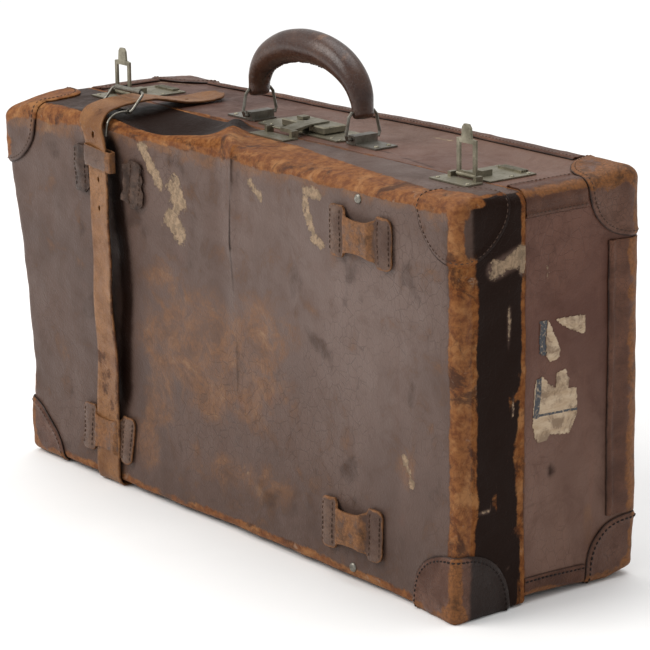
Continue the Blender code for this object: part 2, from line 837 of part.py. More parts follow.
def make_spring(y, floor):
    """The coil spring behind the bolt."""
    turns, sides, radius = 4, 8, 0.0016
    start, end = -0.0270, -0.0208
    count = turns * sides
    points = []
    for i in range(count + 1):
        angle = 2 * math.pi * i / sides
        x = start + (end - start) * i / count
        points.append((x, y + radius * math.cos(angle), floor + 0.0026 + radius * math.sin(angle)))
    metal(tube("lock_spring", points, 0.00025, sides=1), STEEL)


def make_lock_hasp(y, top):
    """The hinged hasp: it lies over the lock case, with its staple in the case's open mouth."""
    axis_y, axis_z = CATCH_AXIS_Y, TOP_Z + 0.0055
    strike = box(
        "lock_hasp_plate",
        (-0.026, axis_y - 0.020, TOP_Z + GAP),
        (0.026, axis_y - 0.0032, TOP_Z + GAP + SHEET),
    )
    for edge, low in (("a", -0.0205), ("b", 0.0165)):
        ear = box(
            f"lock_ear_{edge}",
            (low, axis_y - 0.0060, TOP_Z + GAP),
            (low + 0.004, axis_y + 0.0016, axis_z + 0.0016),
            cutter=True,
        )
        boolean(strike, "UNION", ear)
    boolean(
        strike, "UNION", rod("lock_hasp_pin", (0, axis_y, axis_z), 0.0008, 0.038, "X", 12, cutter=True)
    )
    metal(strike, BRASS)
    sheet_low = top + 0.0004
    profile = [
        (axis_y - 0.0020, axis_z + 0.0018),
        (axis_y - 0.0020, axis_z - 0.0016),
        (axis_y + 0.0016, axis_z - 0.0016),
        (y - LOCK_CASE_SIZE[1] / 2 - 0.0012, sheet_low),
        (y + 0.0060, sheet_low),
        (y + 0.0060, sheet_low + SHEET),
        (y - LOCK_CASE_SIZE[1] / 2 - 0.0022, sheet_low + SHEET),
        (axis_y + 0.0010, axis_z + 0.0018),
    ]
    hasp = extruded("lock_hasp", [profile], "X", -0.0018, 0.0160)
    floor = top - LOCK_CASE_SIZE[2]
    staple = box(
        "lock_staple",
        (0.0030, y - 0.0080, floor + 0.0005),
        (0.0065, y + 0.0055, sheet_low + 0.0005),
        cutter=True,
    )
    boolean(hasp, "UNION", staple)
    eye = box(
        "lock_staple_eye",
        (0.0, y - 0.0048, floor + 0.0016),
        (0.0100, y + 0.0043, floor + 0.0050),
        cutter=True,
    )
    boolean(hasp, "DIFFERENCE", eye)
    bore = rod("lock_hasp_bore", (0, axis_y, axis_z), 0.0012, 0.05, "X", 12, cutter=True)
    boolean(hasp, "DIFFERENCE", bore)
    metal(hasp, BRASS)


def make_rivets():
    """Two domed rivets through the front panel, above and below the right loops."""
    for name, x, z in (("upper", 0.197, 0.345), ("lower", 0.190, 0.014)):
        rivet = rod(f"front_rivet_{name}", (x, FRONT_Y - GAP - 0.0008, z), 0.0042, 0.0016, "Y", 20)
        metal(soften(rivet, 0.0005, 1), STEEL)


def main():
    global PARTS, CUTTERS
    clear_scene()
    PARTS = new_collection("leather_suitcase")
    CUTTERS = new_collection("cutters")
    make_half("base_wall", BACK_Y, SEAM_Y, "base_back_panel")
    make_half("lid_wall", FRONT_Y, SEAM_Y, "lid_front_panel")
    make_lining("base_lining", BACK_Y, SEAM_Y + 0.014)
    make_lining("lid_lining", FRONT_Y, SEAM_Y - LIP_REACH - 0.003)
    make_rim_lip()
    make_corner_caps("base", BACK_Y)
    make_corner_caps("lid", FRONT_Y)
    make_back_binding()
    make_lid_hinges()
    make_loops()
    make_strap()
    make_keeper()
    make_buckle()
    make_handle()
    make_catches()
    make_lock()
    make_rivets()


main()
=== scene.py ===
import math

import bmesh
import bpy
import numpy as np
from mathutils import Matrix, Vector, noise


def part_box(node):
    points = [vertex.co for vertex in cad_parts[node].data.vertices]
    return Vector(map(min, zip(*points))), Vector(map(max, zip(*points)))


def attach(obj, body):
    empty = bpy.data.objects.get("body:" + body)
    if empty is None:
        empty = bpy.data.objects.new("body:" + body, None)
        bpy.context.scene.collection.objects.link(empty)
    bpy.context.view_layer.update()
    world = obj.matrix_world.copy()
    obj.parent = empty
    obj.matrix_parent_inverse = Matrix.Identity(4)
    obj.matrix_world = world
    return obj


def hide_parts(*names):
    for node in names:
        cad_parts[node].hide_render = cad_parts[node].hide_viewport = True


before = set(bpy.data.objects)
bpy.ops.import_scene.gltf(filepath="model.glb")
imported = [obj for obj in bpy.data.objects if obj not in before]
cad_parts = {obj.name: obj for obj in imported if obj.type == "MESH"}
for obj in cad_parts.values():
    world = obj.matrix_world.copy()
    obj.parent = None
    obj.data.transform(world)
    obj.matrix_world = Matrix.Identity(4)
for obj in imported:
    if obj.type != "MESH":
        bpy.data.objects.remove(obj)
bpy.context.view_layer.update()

# ---------------------------------------------------------------- sizes from the frame

LID_LOW, LID_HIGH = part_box("lid_wall")
BASE_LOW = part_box("base_wall")[0]
FRONT_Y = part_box("lid_front_panel")[0].y
BACK_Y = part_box("base_back_panel")[1].y
SIDE_X = LID_HIGH.x
TOP_Z = LID_HIGH.z
BOTTOM_Z = LID_LOW.z
LID_RIM = LID_HIGH.y
BASE_RIM = BASE_LOW.y
WALL = 0.0038
EDGE_RADIUS = 0.011
FOOT_RADIUS = 0.0055
CASE_CENTRE = Vector((0.0, 0.0, (TOP_Z + BOTTOM_Z) / 2))

STRAP_LOW, STRAP_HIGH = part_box("strap_front")
STRAP_X = (STRAP_LOW.x + STRAP_HIGH.x) / 2
STRAP_WIDTH = STRAP_HIGH.x - STRAP_LOW.x
STRAP_LEATHER = 0.0027
CAP_RADIUS = 0.055
CAP_LIFT = 0.0024
STRIP_LIFT = 0.0019
STRAP_SWAY = 0.014
KEEPER_Y = -0.1172
KEEPER_LIFT = 0.0075
KEEPER_MIDDLE_Z = 0.3255
TORN_LOOP_Z = 0.308
TORN_TAB_SHIFT = 0.014
LENS = 170.6

# Where a stitch bends: share of its length, share of its full thickness, and rise over the leather
STITCH_BENDS = (
    (0.0, 0.55, -0.7), (0.18, 0.95, 0.35), (0.5, 1.0, 0.75), (0.82, 0.95, 0.35), (1.0, 0.55, -0.7),
)

# ---------------------------------------------------------------- small number helpers


def ease(low, high, value):
    """0 before low, 1 after high, and smooth between. low may be the larger one."""
    t = np.clip((value - low) / (high - low), 0.0, 1.0)
    return t * t * (3 - 2 * t)


def blob(a, b, centre, size):
    """A soft round spot of height 1 in two coordinates."""
    return np.exp(-(((a - centre[0]) / size[0]) ** 2) - ((b - centre[1]) / size[1]) ** 2)


def from_segment(a, b, start, end):
    """Distance of points (a, b) from a straight segment."""
    start, end = np.array(start), np.array(end)
    along = end - start
    t = ((a - start[0]) * along[0] + (b - start[1]) * along[1]) / (along @ along)
    t = np.clip(t, 0.0, 1.0)
    return np.hypot(a - start[0] - t * along[0], b - start[1] - t * along[1])


def rough(points, size, seed, octaves=3):
    """Smooth noise of about -1 to 1 at each point, with bumps about `size` apart."""
    shift = Vector((seed * 7.3, seed * 3.1, seed * 5.7))
    found = [noise.fractal(Vector(p) / size + shift, 0.9, 2.1, octaves) for p in points]
    return np.array(found)


# ---------------------------------------------------------------- how the old leather has moved


def lid_warp(points):
    """The lid's sag, dents and bulged corner. It is still where the metal sits."""
    x, y, z = np.array(points, float).T
    high = ease(0.0, 0.40, z)
    front = ease(-0.030, -0.098, y)
    top = ease(0.345, 0.3605, z)
    out = np.zeros((len(x), 3))
    out[:, 0] -= 0.017 * high * ease(-0.13, -0.325, x) * (0.30 + 0.70 * front)
    out[:, 1] -= 0.016 * high * ease(0.02, -0.325, x) * front
    out[:, 2] -= 0.013 * ease(-0.270, -0.330, x) * ease(-0.050, -0.100, y) * high
    dish = blob(x, y, (-0.112, -0.070), (0.046, 0.024)) * ease(-0.030, -0.075, x + 0.9 * (y + 0.07))
    out[:, 2] -= 0.013 * dish * top
    ridge = from_segment(x, y, (-0.066, -0.036), (0.010, -0.100))
    out[:, 2] += 0.0065 * np.exp(-((ridge / 0.010) ** 2)) * top
    slump = ease(-0.060, -0.098, y) * ease(0.02, 0.10, x) * ease(0.31, 0.24, x)
    out[:, 2] -= 0.0035 * slump * top
    face = ease(-0.088, -0.098, y)
    crease = np.exp(-(((x - 0.013 + 0.05 * (0.35 - z) ** 2) / 0.0055) ** 2))
    out[:, 1] -= 0.0040 * crease * ease(0.20, 0.355, z) * face
    valley = np.exp(-(((x + 0.012 - 0.06 * (0.35 - z)) / 0.013) ** 2))
    out[:, 1] += 0.0032 * valley * ease(0.10, 0.30, z) * face
    out[:, 1] += 0.0021 * rough(np.c_[x, y * 0, z], 0.085, 1) * face
    out[:, 1] += 0.0007 * rough(np.c_[x, y * 0, z], 0.022, 2) * face
    out[:, 2] += 0.0016 * rough(np.c_[x, y, z * 0], 0.045, 3) * ease(-0.064, -0.085, y) * top
    right = ease(0.300, 0.326, x)
    out[:, 0] += 0.0035 * right * ease(-0.075, -0.028, y) * (0.7 + 0.6 * rough(np.c_[x, y, z], 0.09, 4))
    out[:, 0] += 0.0012 * right * rough(np.c_[x, y, z], 0.030, 5)
    left = ease(-0.300, -0.326, x)
    out[:, 0] -= 0.0016 * left * rough(np.c_[x, y, z], 0.040, 6)
    low = ease(0.040, 0.004, z)
    out[:, 1] -= 0.0040 * ease(0.10, 0.01, z) * front
    corner = ease(0.09, 0.01, z) * ease(0.27, 0.325, x) * front
    out[:, 0] += 0.0050 * corner
    out[:, 1] -= 0.0035 * corner
    out[:, 0] -= 0.0050 * ease(0.18, 0.01, z) * ease(-0.28, -0.325, x) * front
    out[:, 2] -= 0.0026 * low * ease(0.20, 0.32, x)
    out[:, 2] += 0.0012 * low * (1 + rough(np.c_[x, y, z * 0], 0.040, 7)) * ease(0.20, 0.10, x)
    return points + out


def base_warp(points):
    """The base's soft dents. Its top is still near the lock and handle and rises only towards the back."""
    x, y, z = np.array(points, float).T
    out = np.zeros((len(x), 3))
    back = ease(0.090, 0.099, y)
    middle = ease(0.325, 0.27, abs(x)) * ease(0.0, 0.06, z) * ease(0.362, 0.30, z)
    out[:, 1] += 0.0018 * rough(np.c_[x, y * 0, z], 0.090, 11) * back
    out[:, 1] -= 0.0030 * back * middle
    ends = ease(0.318, 0.3265, abs(x)) * np.sign(x)
    sunk = ease(0.0, 0.05, z) * ease(0.362, 0.31, z) * ease(-0.026, 0.01, y) * ease(0.098, 0.07, y)
    out[:, 0] -= ends * sunk * (0.0018 + 0.0014 * rough(np.c_[x, y, z], 0.055, 12))
    out[:, 2] += 0.0040 * ease(0.050, 0.004, z) * ease(0.262, 0.322, x) * ease(0.09, -0.02, y)
    rise = 0.0050 * ease(-0.12, 0.12, x) - 0.0035 * ease(-0.12, -0.28, x)
    out[:, 2] += rise * ease(0.040, 0.095, y) * ease(0.33, 0.3605, z)
    out[:, 1] += 0.0045 * ease(0.22, 0.325, x) * back * ease(0.01, 0.09, z)
    out[:, 0] += 0.0030 * ease(0.30, 0.326, x) * ease(0.070, 0.099, y) * ease(0.01, 0.09, z)
    out[:, 2] += 0.0050 * ease(0.27, 0.326, x) * ease(0.070, 0.099, y) * ease(0.04, 0.004, z)
    return points + out


WARPS = {"lid": lid_warp, "base": base_warp}


def settle(points, half, lift=0.0):
    """Flat-box points rounded over the case's edges, raised by lift, and moved as the leather has."""
    points = np.array(points, float)
    rim = LID_RIM if half == "lid" else BASE_RIM
    face = FRONT_Y if half == "lid" else BACK_Y
    low = np.array([-SIDE_X, min(rim, face), BOTTOM_Z])
    high = np.array([SIDE_X, max(rim, face), TOP_Z])
    radius = FOOT_RADIUS + (EDGE_RADIUS - FOOT_RADIUS) * ease(0.03, 0.12, points[:, 2:3])
    inner_low, inner_high = low + radius, high - radius
    if half == "lid":
        inner_high[:, 1] = rim + 1.0
    else:
        inner_low[:, 1] = rim - 1.0
    core = np.clip(points, inner_low, inner_high)
    away = points - core
    length = np.maximum(np.linalg.norm(away, axis=1, keepdims=True), 1e-9)
    direction = away / length
    # A point inside the flat box keeps its depth, measured from the nearest face
    depth = np.max(np.abs(away), axis=1, keepdims=True)
    rounded = core + direction * (depth + lift)
    moved = WARPS[half](core + direction * depth) - (core + direction * depth)
    placed = rounded + moved
    placed[:, 2] = np.maximum(placed[:, 2], 0.0004)
    return placed


# ---------------------------------------------------------------- mesh helpers


def weld(points, quads):
    """Points that fall together become one, and quads are renumbered."""
    _, first, back = np.unique(
        np.round(np.array(points) * 2e5).astype(np.int64), axis=0, return_index=True, return_inverse=True
    )
    back = back.ravel()
    found = []
    for q in quads:
        corners = []
        for i in q:
            j = int(back[i])
            if j not in corners:
                corners.append(j)
        if len(corners) > 2:
            found.append(tuple(corners))
    return np.array(points)[first], found


def grid_quads(rows, columns, start=0):
    """Quads of a grid whose points are stored row by row."""
    return [
        (start + r * columns + c, start + r * columns + c + 1,
         start + (r + 1) * columns + c + 1, start + (r + 1) * columns + c)
        for r in range(rows - 1)
        for c in range(columns - 1)
    ]


def lines(low, high, step, edge=0.013, fine=0.0026):
    """Grid lines from low to high, close together near both ends."""
    near = np.arange(0.0, edge - fine / 2, fine)
    count = max(1, round((high - low - 2 * edge) / step))
    middle = np.linspace(low + edge, high - edge, count + 1)
    return np.concatenate([low + near, middle, high - near[::-1]])


def new_object(name, points, faces, smooth=True):
    mesh = bpy.data.meshes.new(name)
    mesh.from_pydata([tuple(p) for p in points], [], faces)
    mesh.validate()
    bm = bmesh.new()
    bm.from_mesh(mesh)
    bmesh.ops.recalc_face_normals(bm, faces=bm.faces)
    bm.to_mesh(mesh)
    bm.free()
    if smooth:
        mesh.polygons.foreach_set("use_smooth", [True] * len(mesh.polygons))
    obj = bpy.data.objects.new(name, mesh)
    bpy.context.scene.collection.objects.link(obj)
    return obj


def sheet(name, points, faces, thickness, inside=CASE_CENTRE, bevel=0.0):
    """An open surface made into leather of this thickness, grown inwards."""
    obj = new_object(name, points, faces)
    facing = sum(p.area * p.normal.dot(p.center - inside) for p in obj.data.polygons)
    if facing < 0:
        obj.data.flip_normals()
    solid = obj.modifiers.new("leather", "SOLIDIFY")
    solid.thickness = thickness
    solid.offset = -1.0
    solid.use_even_offset = False
    if bevel:
        soft = obj.modifiers.new("edges", "BEVEL")
        soft.width = bevel
        soft.segments = 2
        soft.limit_method = "ANGLE"
        soft.angle_limit = math.radians(50)
    return obj


def paint(obj, **values):
    """Stores each array as a number on every vertex, for the materials to read."""
    for name, value in values.items():
        attribute = obj.data.attributes.new(name, "FLOAT", "POINT")
        attribute.data.foreach_set("value", np.clip(value, 0.0, 1.0).astype(np.float32))


def finish_piece(obj, material, body, nodes=()):
    obj.data.materials.clear()
    obj.data.materials.append(material)
    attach(obj, body)
    if nodes:
        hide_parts(*nodes)
    return obj


class Gathered:
    """Many small closed shapes that end up as one piece."""

    def __init__(self):
        self.points = []
        self.faces = []

    def add(self, points, faces):
        start = len(self.points)
        self.points.extend((p[0], p[1], max(p[2], 0.0002)) for p in points)
        self.faces.extend(tuple(start + i for i in f) for f in faces)

    def loft(self, rings, closed_ends=True):
        """Rings of equal size joined one to the next."""
        count = len(rings[0])
        points = [p for ring in rings for p in ring]
        faces = []
        for r in range(len(rings) - 1):
            for i in range(count):
                j = (i + 1) % count
                faces.append((r * count + i, r * count + j, (r + 1) * count + j, (r + 1) * count + i))
        if closed_ends:
            faces.append(tuple(range(count))[::-1])
            faces.append(tuple((len(rings) - 1) * count + i for i in range(count)))
        self.add(points, faces)

    def stitch(self, start, end, normal, radius):
        """A short thread that dips into the leather at both ends."""
        start, end, normal = Vector(start), Vector(end), Vector(normal)
        along = (end - start).normalized()
        across = along.cross(normal).normalized()
        rings = []
        for t, share, rise in STITCH_BENDS:
            centre = start.lerp(end, t) + normal * radius * rise
            ring = []
            for k in range(6):
                a = k * math.tau / 6
                ring.append(centre + radius * share * (across * math.cos(a) + normal * math.sin(a)))
            rings.append(ring)
        self.loft(rings)

    def dome(self, centre, normal, radius, height, dimple=0.0):
        """A rivet or nail head."""
        centre, normal = Vector(centre), Vector(normal).normalized()
        side = normal.orthogonal().normalized()
        other = normal.cross(side)
        rings = []
        profile = [(1.0, -0.25), (1.0, 0.15), (0.93, 0.45), (0.75, 0.80), (0.45, 0.98), (0.15, 1.0 - dimple)]
        for share, rise in profile:
            ring = []
            for k in range(14):
                a = k * math.tau / 14
                ring.append(centre + normal * height * rise
                            + radius * share * (side * math.cos(a) + other * math.sin(a)))
            rings.append(ring)
        self.loft(rings)

    def piece(self, name, material, body, slot=None):
        obj = new_object(name, self.points, self.faces)
        return finish_piece(obj, material, body)


def along_line(points, step):
    """Evenly spaced points on a polyline, with the direction at each."""
    points = [Vector(p) for p in points]
    lengths = [0.0]
    for a, b in zip(points, points[1:]):
        lengths.append(lengths[-1] + (b - a).length)
    found = []
    count = max(1, int(lengths[-1] / step))
    for k in range(count):
        s = (k + 0.5) * lengths[-1] / count
        i = min(max(np.searchsorted(lengths, s) - 1, 0), len(points) - 2)
        part = lengths[i + 1] - lengths[i]
        t = (s - lengths[i]) / part if part else 0.0
        found.append((points[i].lerp(points[i + 1], t), (points[i + 1] - points[i]).normalized()))
    return found


def sew(gathered, points, normals, pitch=0.0046, length=0.0034, radius=0.00055):
    """Stitches along a line that lies on leather. normals is one vector or one for each point."""
    points = [Vector(p) for p in points]
    many = not isinstance(normals, Vector)
    for centre, along in along_line(points, pitch):
        if many:
            near = min(range(len(points)), key=lambda i: (points[i] - centre).length_squared)
            normal = Vector(normals[near]).normalized()
        else:
            normal = normals
        gathered.stitch(centre - along * length / 2, centre + along * length / 2, normal, radius)


# ---------------------------------------------------------------- materials


class Look:
    """Builds one node material around a Principled shader."""

    def __init__(self, name, **sockets):
        self.material = bpy.data.materials.new(name)
        self.material.use_nodes = True
        self.tree = self.material.node_tree
        self.tree.nodes.clear()
        self.shader = self.tree.nodes.new("ShaderNodeBsdfPrincipled")
        out = self.tree.nodes.new("ShaderNodeOutputMaterial")
        self.tree.links.new(self.shader.outputs[0], out.inputs[0])
        coords = self.tree.nodes.new("ShaderNodeTexCoord")
        self.place = coords.outputs["Object"]
        for socket, value in sockets.items():
            self.shader.inputs[socket.replace("_", " ")].default_value = value

    def put(self, socket, value):
        if isinstance(value, (int, float)):
            socket.default_value = value
        elif isinstance(value, tuple):
            socket.default_value = (*value, 1.0) if len(value) == 3 else value
        else:
            self.tree.links.new(value, socket)

    def where(self, stretch=(1, 1, 1), turn=(0, 0, 0)):
        node = self.tree.nodes.new("ShaderNodeMapping")
        self.put(node.inputs["Vector"], self.place)
        node.inputs["Scale"].default_value = stretch
        node.inputs["Rotation"].default_value = turn
        return node.outputs[0]

    def noise(self, scale, detail=4.0, roughness=0.6, stretch=None, distortion=0.0, shift=0.0):
        node = self.tree.nodes.new("ShaderNodeTexNoise")
        node.noise_dimensions = "4D"
        self.put(node.inputs["Vector"], self.where(stretch) if stretch else self.place)
        node.inputs["W"].default_value = shift
        node.inputs["Scale"].default_value = scale
        node.inputs["Detail"].default_value = detail
        node.inputs["Roughness"].default_value = roughness
        node.inputs["Distortion"].default_value = distortion
        return node.outputs["Fac"]

    def cells(self, scale, feature="DISTANCE_TO_EDGE", stretch=None):
        node = self.tree.nodes.new("ShaderNodeTexVoronoi")
        node.feature = feature
        self.put(node.inputs["Vector"], self.where(stretch) if stretch else self.place)
        node.inputs["Scale"].default_value = scale
        return node.outputs["Distance"]

    def weave(self, scale, axis, distortion=0.0):
        node = self.tree.nodes.new("ShaderNodeTexWave")
        node.bands_direction = axis
        self.put(node.inputs["Vector"], self.place)
        node.inputs["Scale"].default_value = scale
        node.inputs["Distortion"].default_value = distortion
        return node.outputs["Fac"]

    def mark(self, name):
        node = self.tree.nodes.new("ShaderNodeAttribute")
        node.attribute_name = name
        return node.outputs["Fac"]

    def math(self, operation, a, b=0.0, clamp=False):
        node = self.tree.nodes.new("ShaderNodeMath")
        node.operation = operation
        node.use_clamp = clamp
        self.put(node.inputs[0], a)
        self.put(node.inputs[1], b)
        return node.outputs[0]

    def ramp(self, value, low, high, bottom=0.0, top=1.0):
        node = self.tree.nodes.new("ShaderNodeMapRange")
        node.interpolation_type = "SMOOTHSTEP"
        self.put(node.inputs["Value"], value)
        node.inputs["From Min"].default_value = low
        node.inputs["From Max"].default_value = high
        node.inputs["To Min"].default_value = bottom
        node.inputs["To Max"].default_value = top
        return node.outputs[0]

    def ragged(self, mark, noise_value, amount, low, high):
        """A painted mark whose border is broken up by noise."""
        spread = self.math("MULTIPLY", self.math("SUBTRACT", noise_value, 0.5), amount)
        return self.ramp(self.math("ADD", mark, spread), low, high)

    def mix(self, share, a, b, blend="MIX"):
        node = self.tree.nodes.new("ShaderNodeMix")
        node.data_type = "RGBA"
        node.blend_type = blend
        self.put(node.inputs[0], share)
        self.put(node.inputs[6], a)
        self.put(node.inputs[7], b)
        return node.outputs[2]

    def bump(self, height, distance, strength=1.0, normal=None):
        node = self.tree.nodes.new("ShaderNodeBump")
        node.inputs["Strength"].default_value = strength
        node.inputs["Distance"].default_value = distance
        self.put(node.inputs["Height"], height)
        if normal is not None:
            self.put(node.inputs["Normal"], normal)
        return node.outputs[0]

    def done(self, colour, roughness, normal=None):
        self.put(self.shader.inputs["Base Color"], colour)
        self.put(self.shader.inputs["Roughness"], roughness)
        if normal is not None:
            self.put(self.shader.inputs["Normal"], normal)
        return self.material


ORANGE = (0.215, 0.082, 0.024)
RUST = (0.120, 0.038, 0.011)
SOOT = (0.040, 0.016, 0.009)
TAN = (0.165, 0.080, 0.040)
CREAM = (0.290, 0.200, 0.125)
BLACK_BROWN = (0.013, 0.006, 0.004)


def case_leather(name, dark, light, pale_and_sheen, tan_amount=1.0, grain=1.0):
    """Old waxed hide: two browns in large soft clouds, then the painted wear on top of them."""
    look = Look(name)
    clouds = look.noise(7.0, 5.0, 0.62, distortion=0.5)
    mottle = look.noise(34.0, 7.0, 0.68, distortion=0.6, shift=1.7)
    specks = look.noise(150.0, 5.0, 0.7, shift=3.1)
    streaks = look.noise(26.0, 4.0, 0.7, stretch=(3.6, 3.6, 0.28), shift=5.0)
    colour = look.mix(look.ramp(clouds, 0.36, 0.66), dark, light)
    # Pale grey patches from the pale_and_sheen mark: partly the hide's own paler tone, partly painted sheen
    pale_sheen_share = look.math("MULTIPLY", look.mark("pale_and_sheen"), look.ramp(clouds, 0.30, 0.60, 0.70, 1.0))
    colour = look.mix(pale_sheen_share, colour, pale_and_sheen)
    colour = look.mix(look.ramp(mottle, 0.46, 0.72, 0.0, 0.40), colour, tuple(0.70 * c for c in dark))
    colour = look.mix(look.ramp(streaks, 0.56, 0.74, 0.0, 0.28), colour, tuple(1.22 * c for c in light))
    tan = look.ragged(look.mark("tan"), mottle, 1.7, 0.34, 0.74)
    tan = look.math("MULTIPLY", tan, look.ramp(specks, 0.30, 0.62, 0.55, 1.0))
    blotches = look.noise(30.0, 7.0, 0.75, distortion=1.2, shift=4.4)
    tan = look.math("MULTIPLY", tan, look.ramp(blotches, 0.40, 0.56, 0.35, 1.0))
    light_tan = look.mix(look.ramp(blotches, 0.54, 0.70), TAN, (0.245, 0.138, 0.074))
    colour = look.mix(look.math("MULTIPLY", tan, 0.88 * tan_amount), colour, light_tan)
    red = look.ramp(look.noise(19.0, 4.0, 0.6, shift=8.0), 0.60, 0.74, 0.0, 0.40)
    colour = look.mix(look.math("MULTIPLY", red, look.mark("tan")), colour, (0.150, 0.045, 0.022))
    dark_mark = look.ragged(look.mark("dark"), mottle, 0.6, 0.12, 0.80)
    colour = look.mix(dark_mark, colour, BLACK_BROWN)
    rub = look.noise(58.0, 7.0, 0.72, distortion=0.4, shift=2.2)
    worn = look.ragged(look.mark("wear"), rub, 1.25, 0.36, 0.62)
    hide = look.mix(look.ramp(specks, 0.38, 0.62), RUST, ORANGE)
    hide = look.mix(look.ramp(mottle, 0.50, 0.64, 0.0, 0.85), hide, (0.290, 0.135, 0.052))
    burnt = look.noise(23.0, 7.0, 0.72, distortion=0.9, shift=12.0)
    hide = look.mix(look.ramp(burnt, 0.52, 0.62, 0.0, 0.80), hide, SOOT)
    grazed = look.ramp(look.noise(70.0, 6.0, 0.7, distortion=0.4, shift=14.0), 0.60, 0.70, 0.0, 0.75)
    hide = look.mix(grazed, hide, (0.250, 0.170, 0.120))
    colour = look.mix(worn, colour, hide)
    dots = look.noise(75.0, 5.0, 0.62, distortion=0.3, shift=16.0)
    colour = look.mix(look.ramp(dots, 0.70, 0.76, 0.0, 0.55), colour, (0.270, 0.165, 0.090))
    scuffs = look.noise(300.0, 4.0, 0.6, stretch=(1.0, 1.0, 0.16), shift=6.0)
    colour = look.mix(look.ramp(scuffs, 0.66, 0.74, 0.0, 0.35), colour, tuple(1.5 * c for c in light))
    chips = look.noise(95.0, 6.0, 0.75, shift=9.0)
    cream = look.ragged(look.mark("cream"), chips, 2.3, 0.46, 0.64)
    paper = look.mix(look.ramp(specks, 0.40, 0.60), tuple(0.60 * c for c in CREAM), CREAM)
    colour = look.mix(cream, colour, paper)
    cracks = look.cells(120.0, stretch=(1.0, 1.0, 0.8))
    crazed = look.ramp(cracks, 0.0, 0.045, 1.0, 0.0)
    crazed = look.math("MULTIPLY", crazed, look.ramp(clouds, 0.40, 0.62, 0.0, 0.32))
    colour = look.mix(crazed, colour, tuple(0.45 * c for c in dark))
    shine = look.ramp(mottle, 0.35, 0.70, 0.38, 0.56)
    shine = look.math("ADD", shine, look.math("MULTIPLY", worn, 0.16))
    look.put(look.shader.inputs["Specular IOR Level"], look.ramp(dark_mark, 0.0, 1.0, 0.18, 0.05))
    fine = look.cells(520.0, "SMOOTH_F1")
    height = look.math("ADD", look.math("MULTIPLY", fine, 0.22 * grain), look.math("MULTIPLY", mottle, 0.55))
    height = look.math("ADD", height, look.math("MULTIPLY", worn, -0.35))
    height = look.math("ADD", height, look.math("MULTIPLY", crazed, -0.5))
    height = look.math("ADD", height, look.math("MULTIPLY", cream, 0.30))
    return look.done(colour, shine, look.bump(height, 0.0012, 0.85))


def trim_leather(name, dark, light, edge_colour=ORANGE, gloss=0.15, roughness=0.42):
    """Strap, loop, cap and handle leather, with rubbed edges where they are painted."""
    look = Look(name, Coat_Weight=gloss, Coat_Roughness=0.30, Specular_IOR_Level=0.20)
    clouds = look.noise(24.0, 5.0, 0.62, distortion=0.4)
    mottle = look.noise(90.0, 6.0, 0.7, shift=1.3)
    specks = look.noise(320.0, 4.0, 0.7, shift=2.9)
    colour = look.mix(look.ramp(clouds, 0.36, 0.64), dark, light)
    colour = look.mix(look.ramp(mottle, 0.50, 0.74, 0.0, 0.5), colour, tuple(0.58 * c for c in dark))
    worn = look.ragged(look.mark("wear"), mottle, 1.1, 0.42, 0.66)
    rubbed = look.mix(look.ramp(specks, 0.35, 0.65), tuple(0.62 * c for c in edge_colour), edge_colour)
    burnt = look.ramp(look.noise(45.0, 6.0, 0.7, distortion=0.6, shift=7.0), 0.52, 0.64, 0.0, 0.75)
    rubbed = look.mix(burnt, rubbed, tuple(0.25 * c for c in edge_colour))
    colour = look.mix(worn, colour, rubbed)
    # Dark mark: real dark edges and marks on most trim, and painted shade on the grip's underside
    soot_and_shade = look.ragged(look.mark("dark"), mottle, 0.6, 0.30, 0.75)
    colour = look.mix(soot_and_shade, colour, tuple(0.22 * c for c in dark))
    cracks = look.ramp(look.cells(210.0), 0.0, 0.06, 0.45, 0.0)
    cracked = look.math("MULTIPLY", cracks, look.ramp(clouds, 0.42, 0.60))
    colour = look.mix(cracked, colour, tuple(0.3 * c for c in dark))
    shine = look.ramp(mottle, 0.35, 0.70, roughness - 0.07, roughness + 0.14)
    shine = look.math("ADD", shine, look.math("MULTIPLY", worn, 0.12))
    pores = look.cells(700.0, "SMOOTH_F1")
    height = look.math("ADD", look.math("MULTIPLY", pores, 0.25), look.math("MULTIPLY", mottle, 0.6))
    height = look.math("ADD", height, look.math("MULTIPLY", cracks, -0.5))
    return look.done(colour, shine, look.bump(height, 0.0009, 0.8))


def old_metal(name, bright, dull, stain_and_strap_shadow, roughness=0.34):
    look = Look(name, Metallic=1.0)
    clouds = look.noise(70.0, 6.0, 0.65)
    specks = look.noise(420.0, 5.0, 0.7, shift=4.0)
    colour = look.mix(look.ramp(clouds, 0.25, 0.80), dull, bright)
    colour = look.mix(look.ramp(specks, 0.54, 0.74, 0.0, 0.65), colour, stain_and_strap_shadow)
    shine = look.ramp(clouds, 0.30, 0.70, roughness + 0.16, roughness)
    shine = look.math("ADD", shine, look.ramp(specks, 0.5, 0.7, 0.0, 0.2))
    height = look.math("ADD", look.math("MULTIPLY", clouds, 0.6), look.math("MULTIPLY", specks, 0.4))
    return look.done(colour, shine, look.bump(height, 0.0005, 0.6))


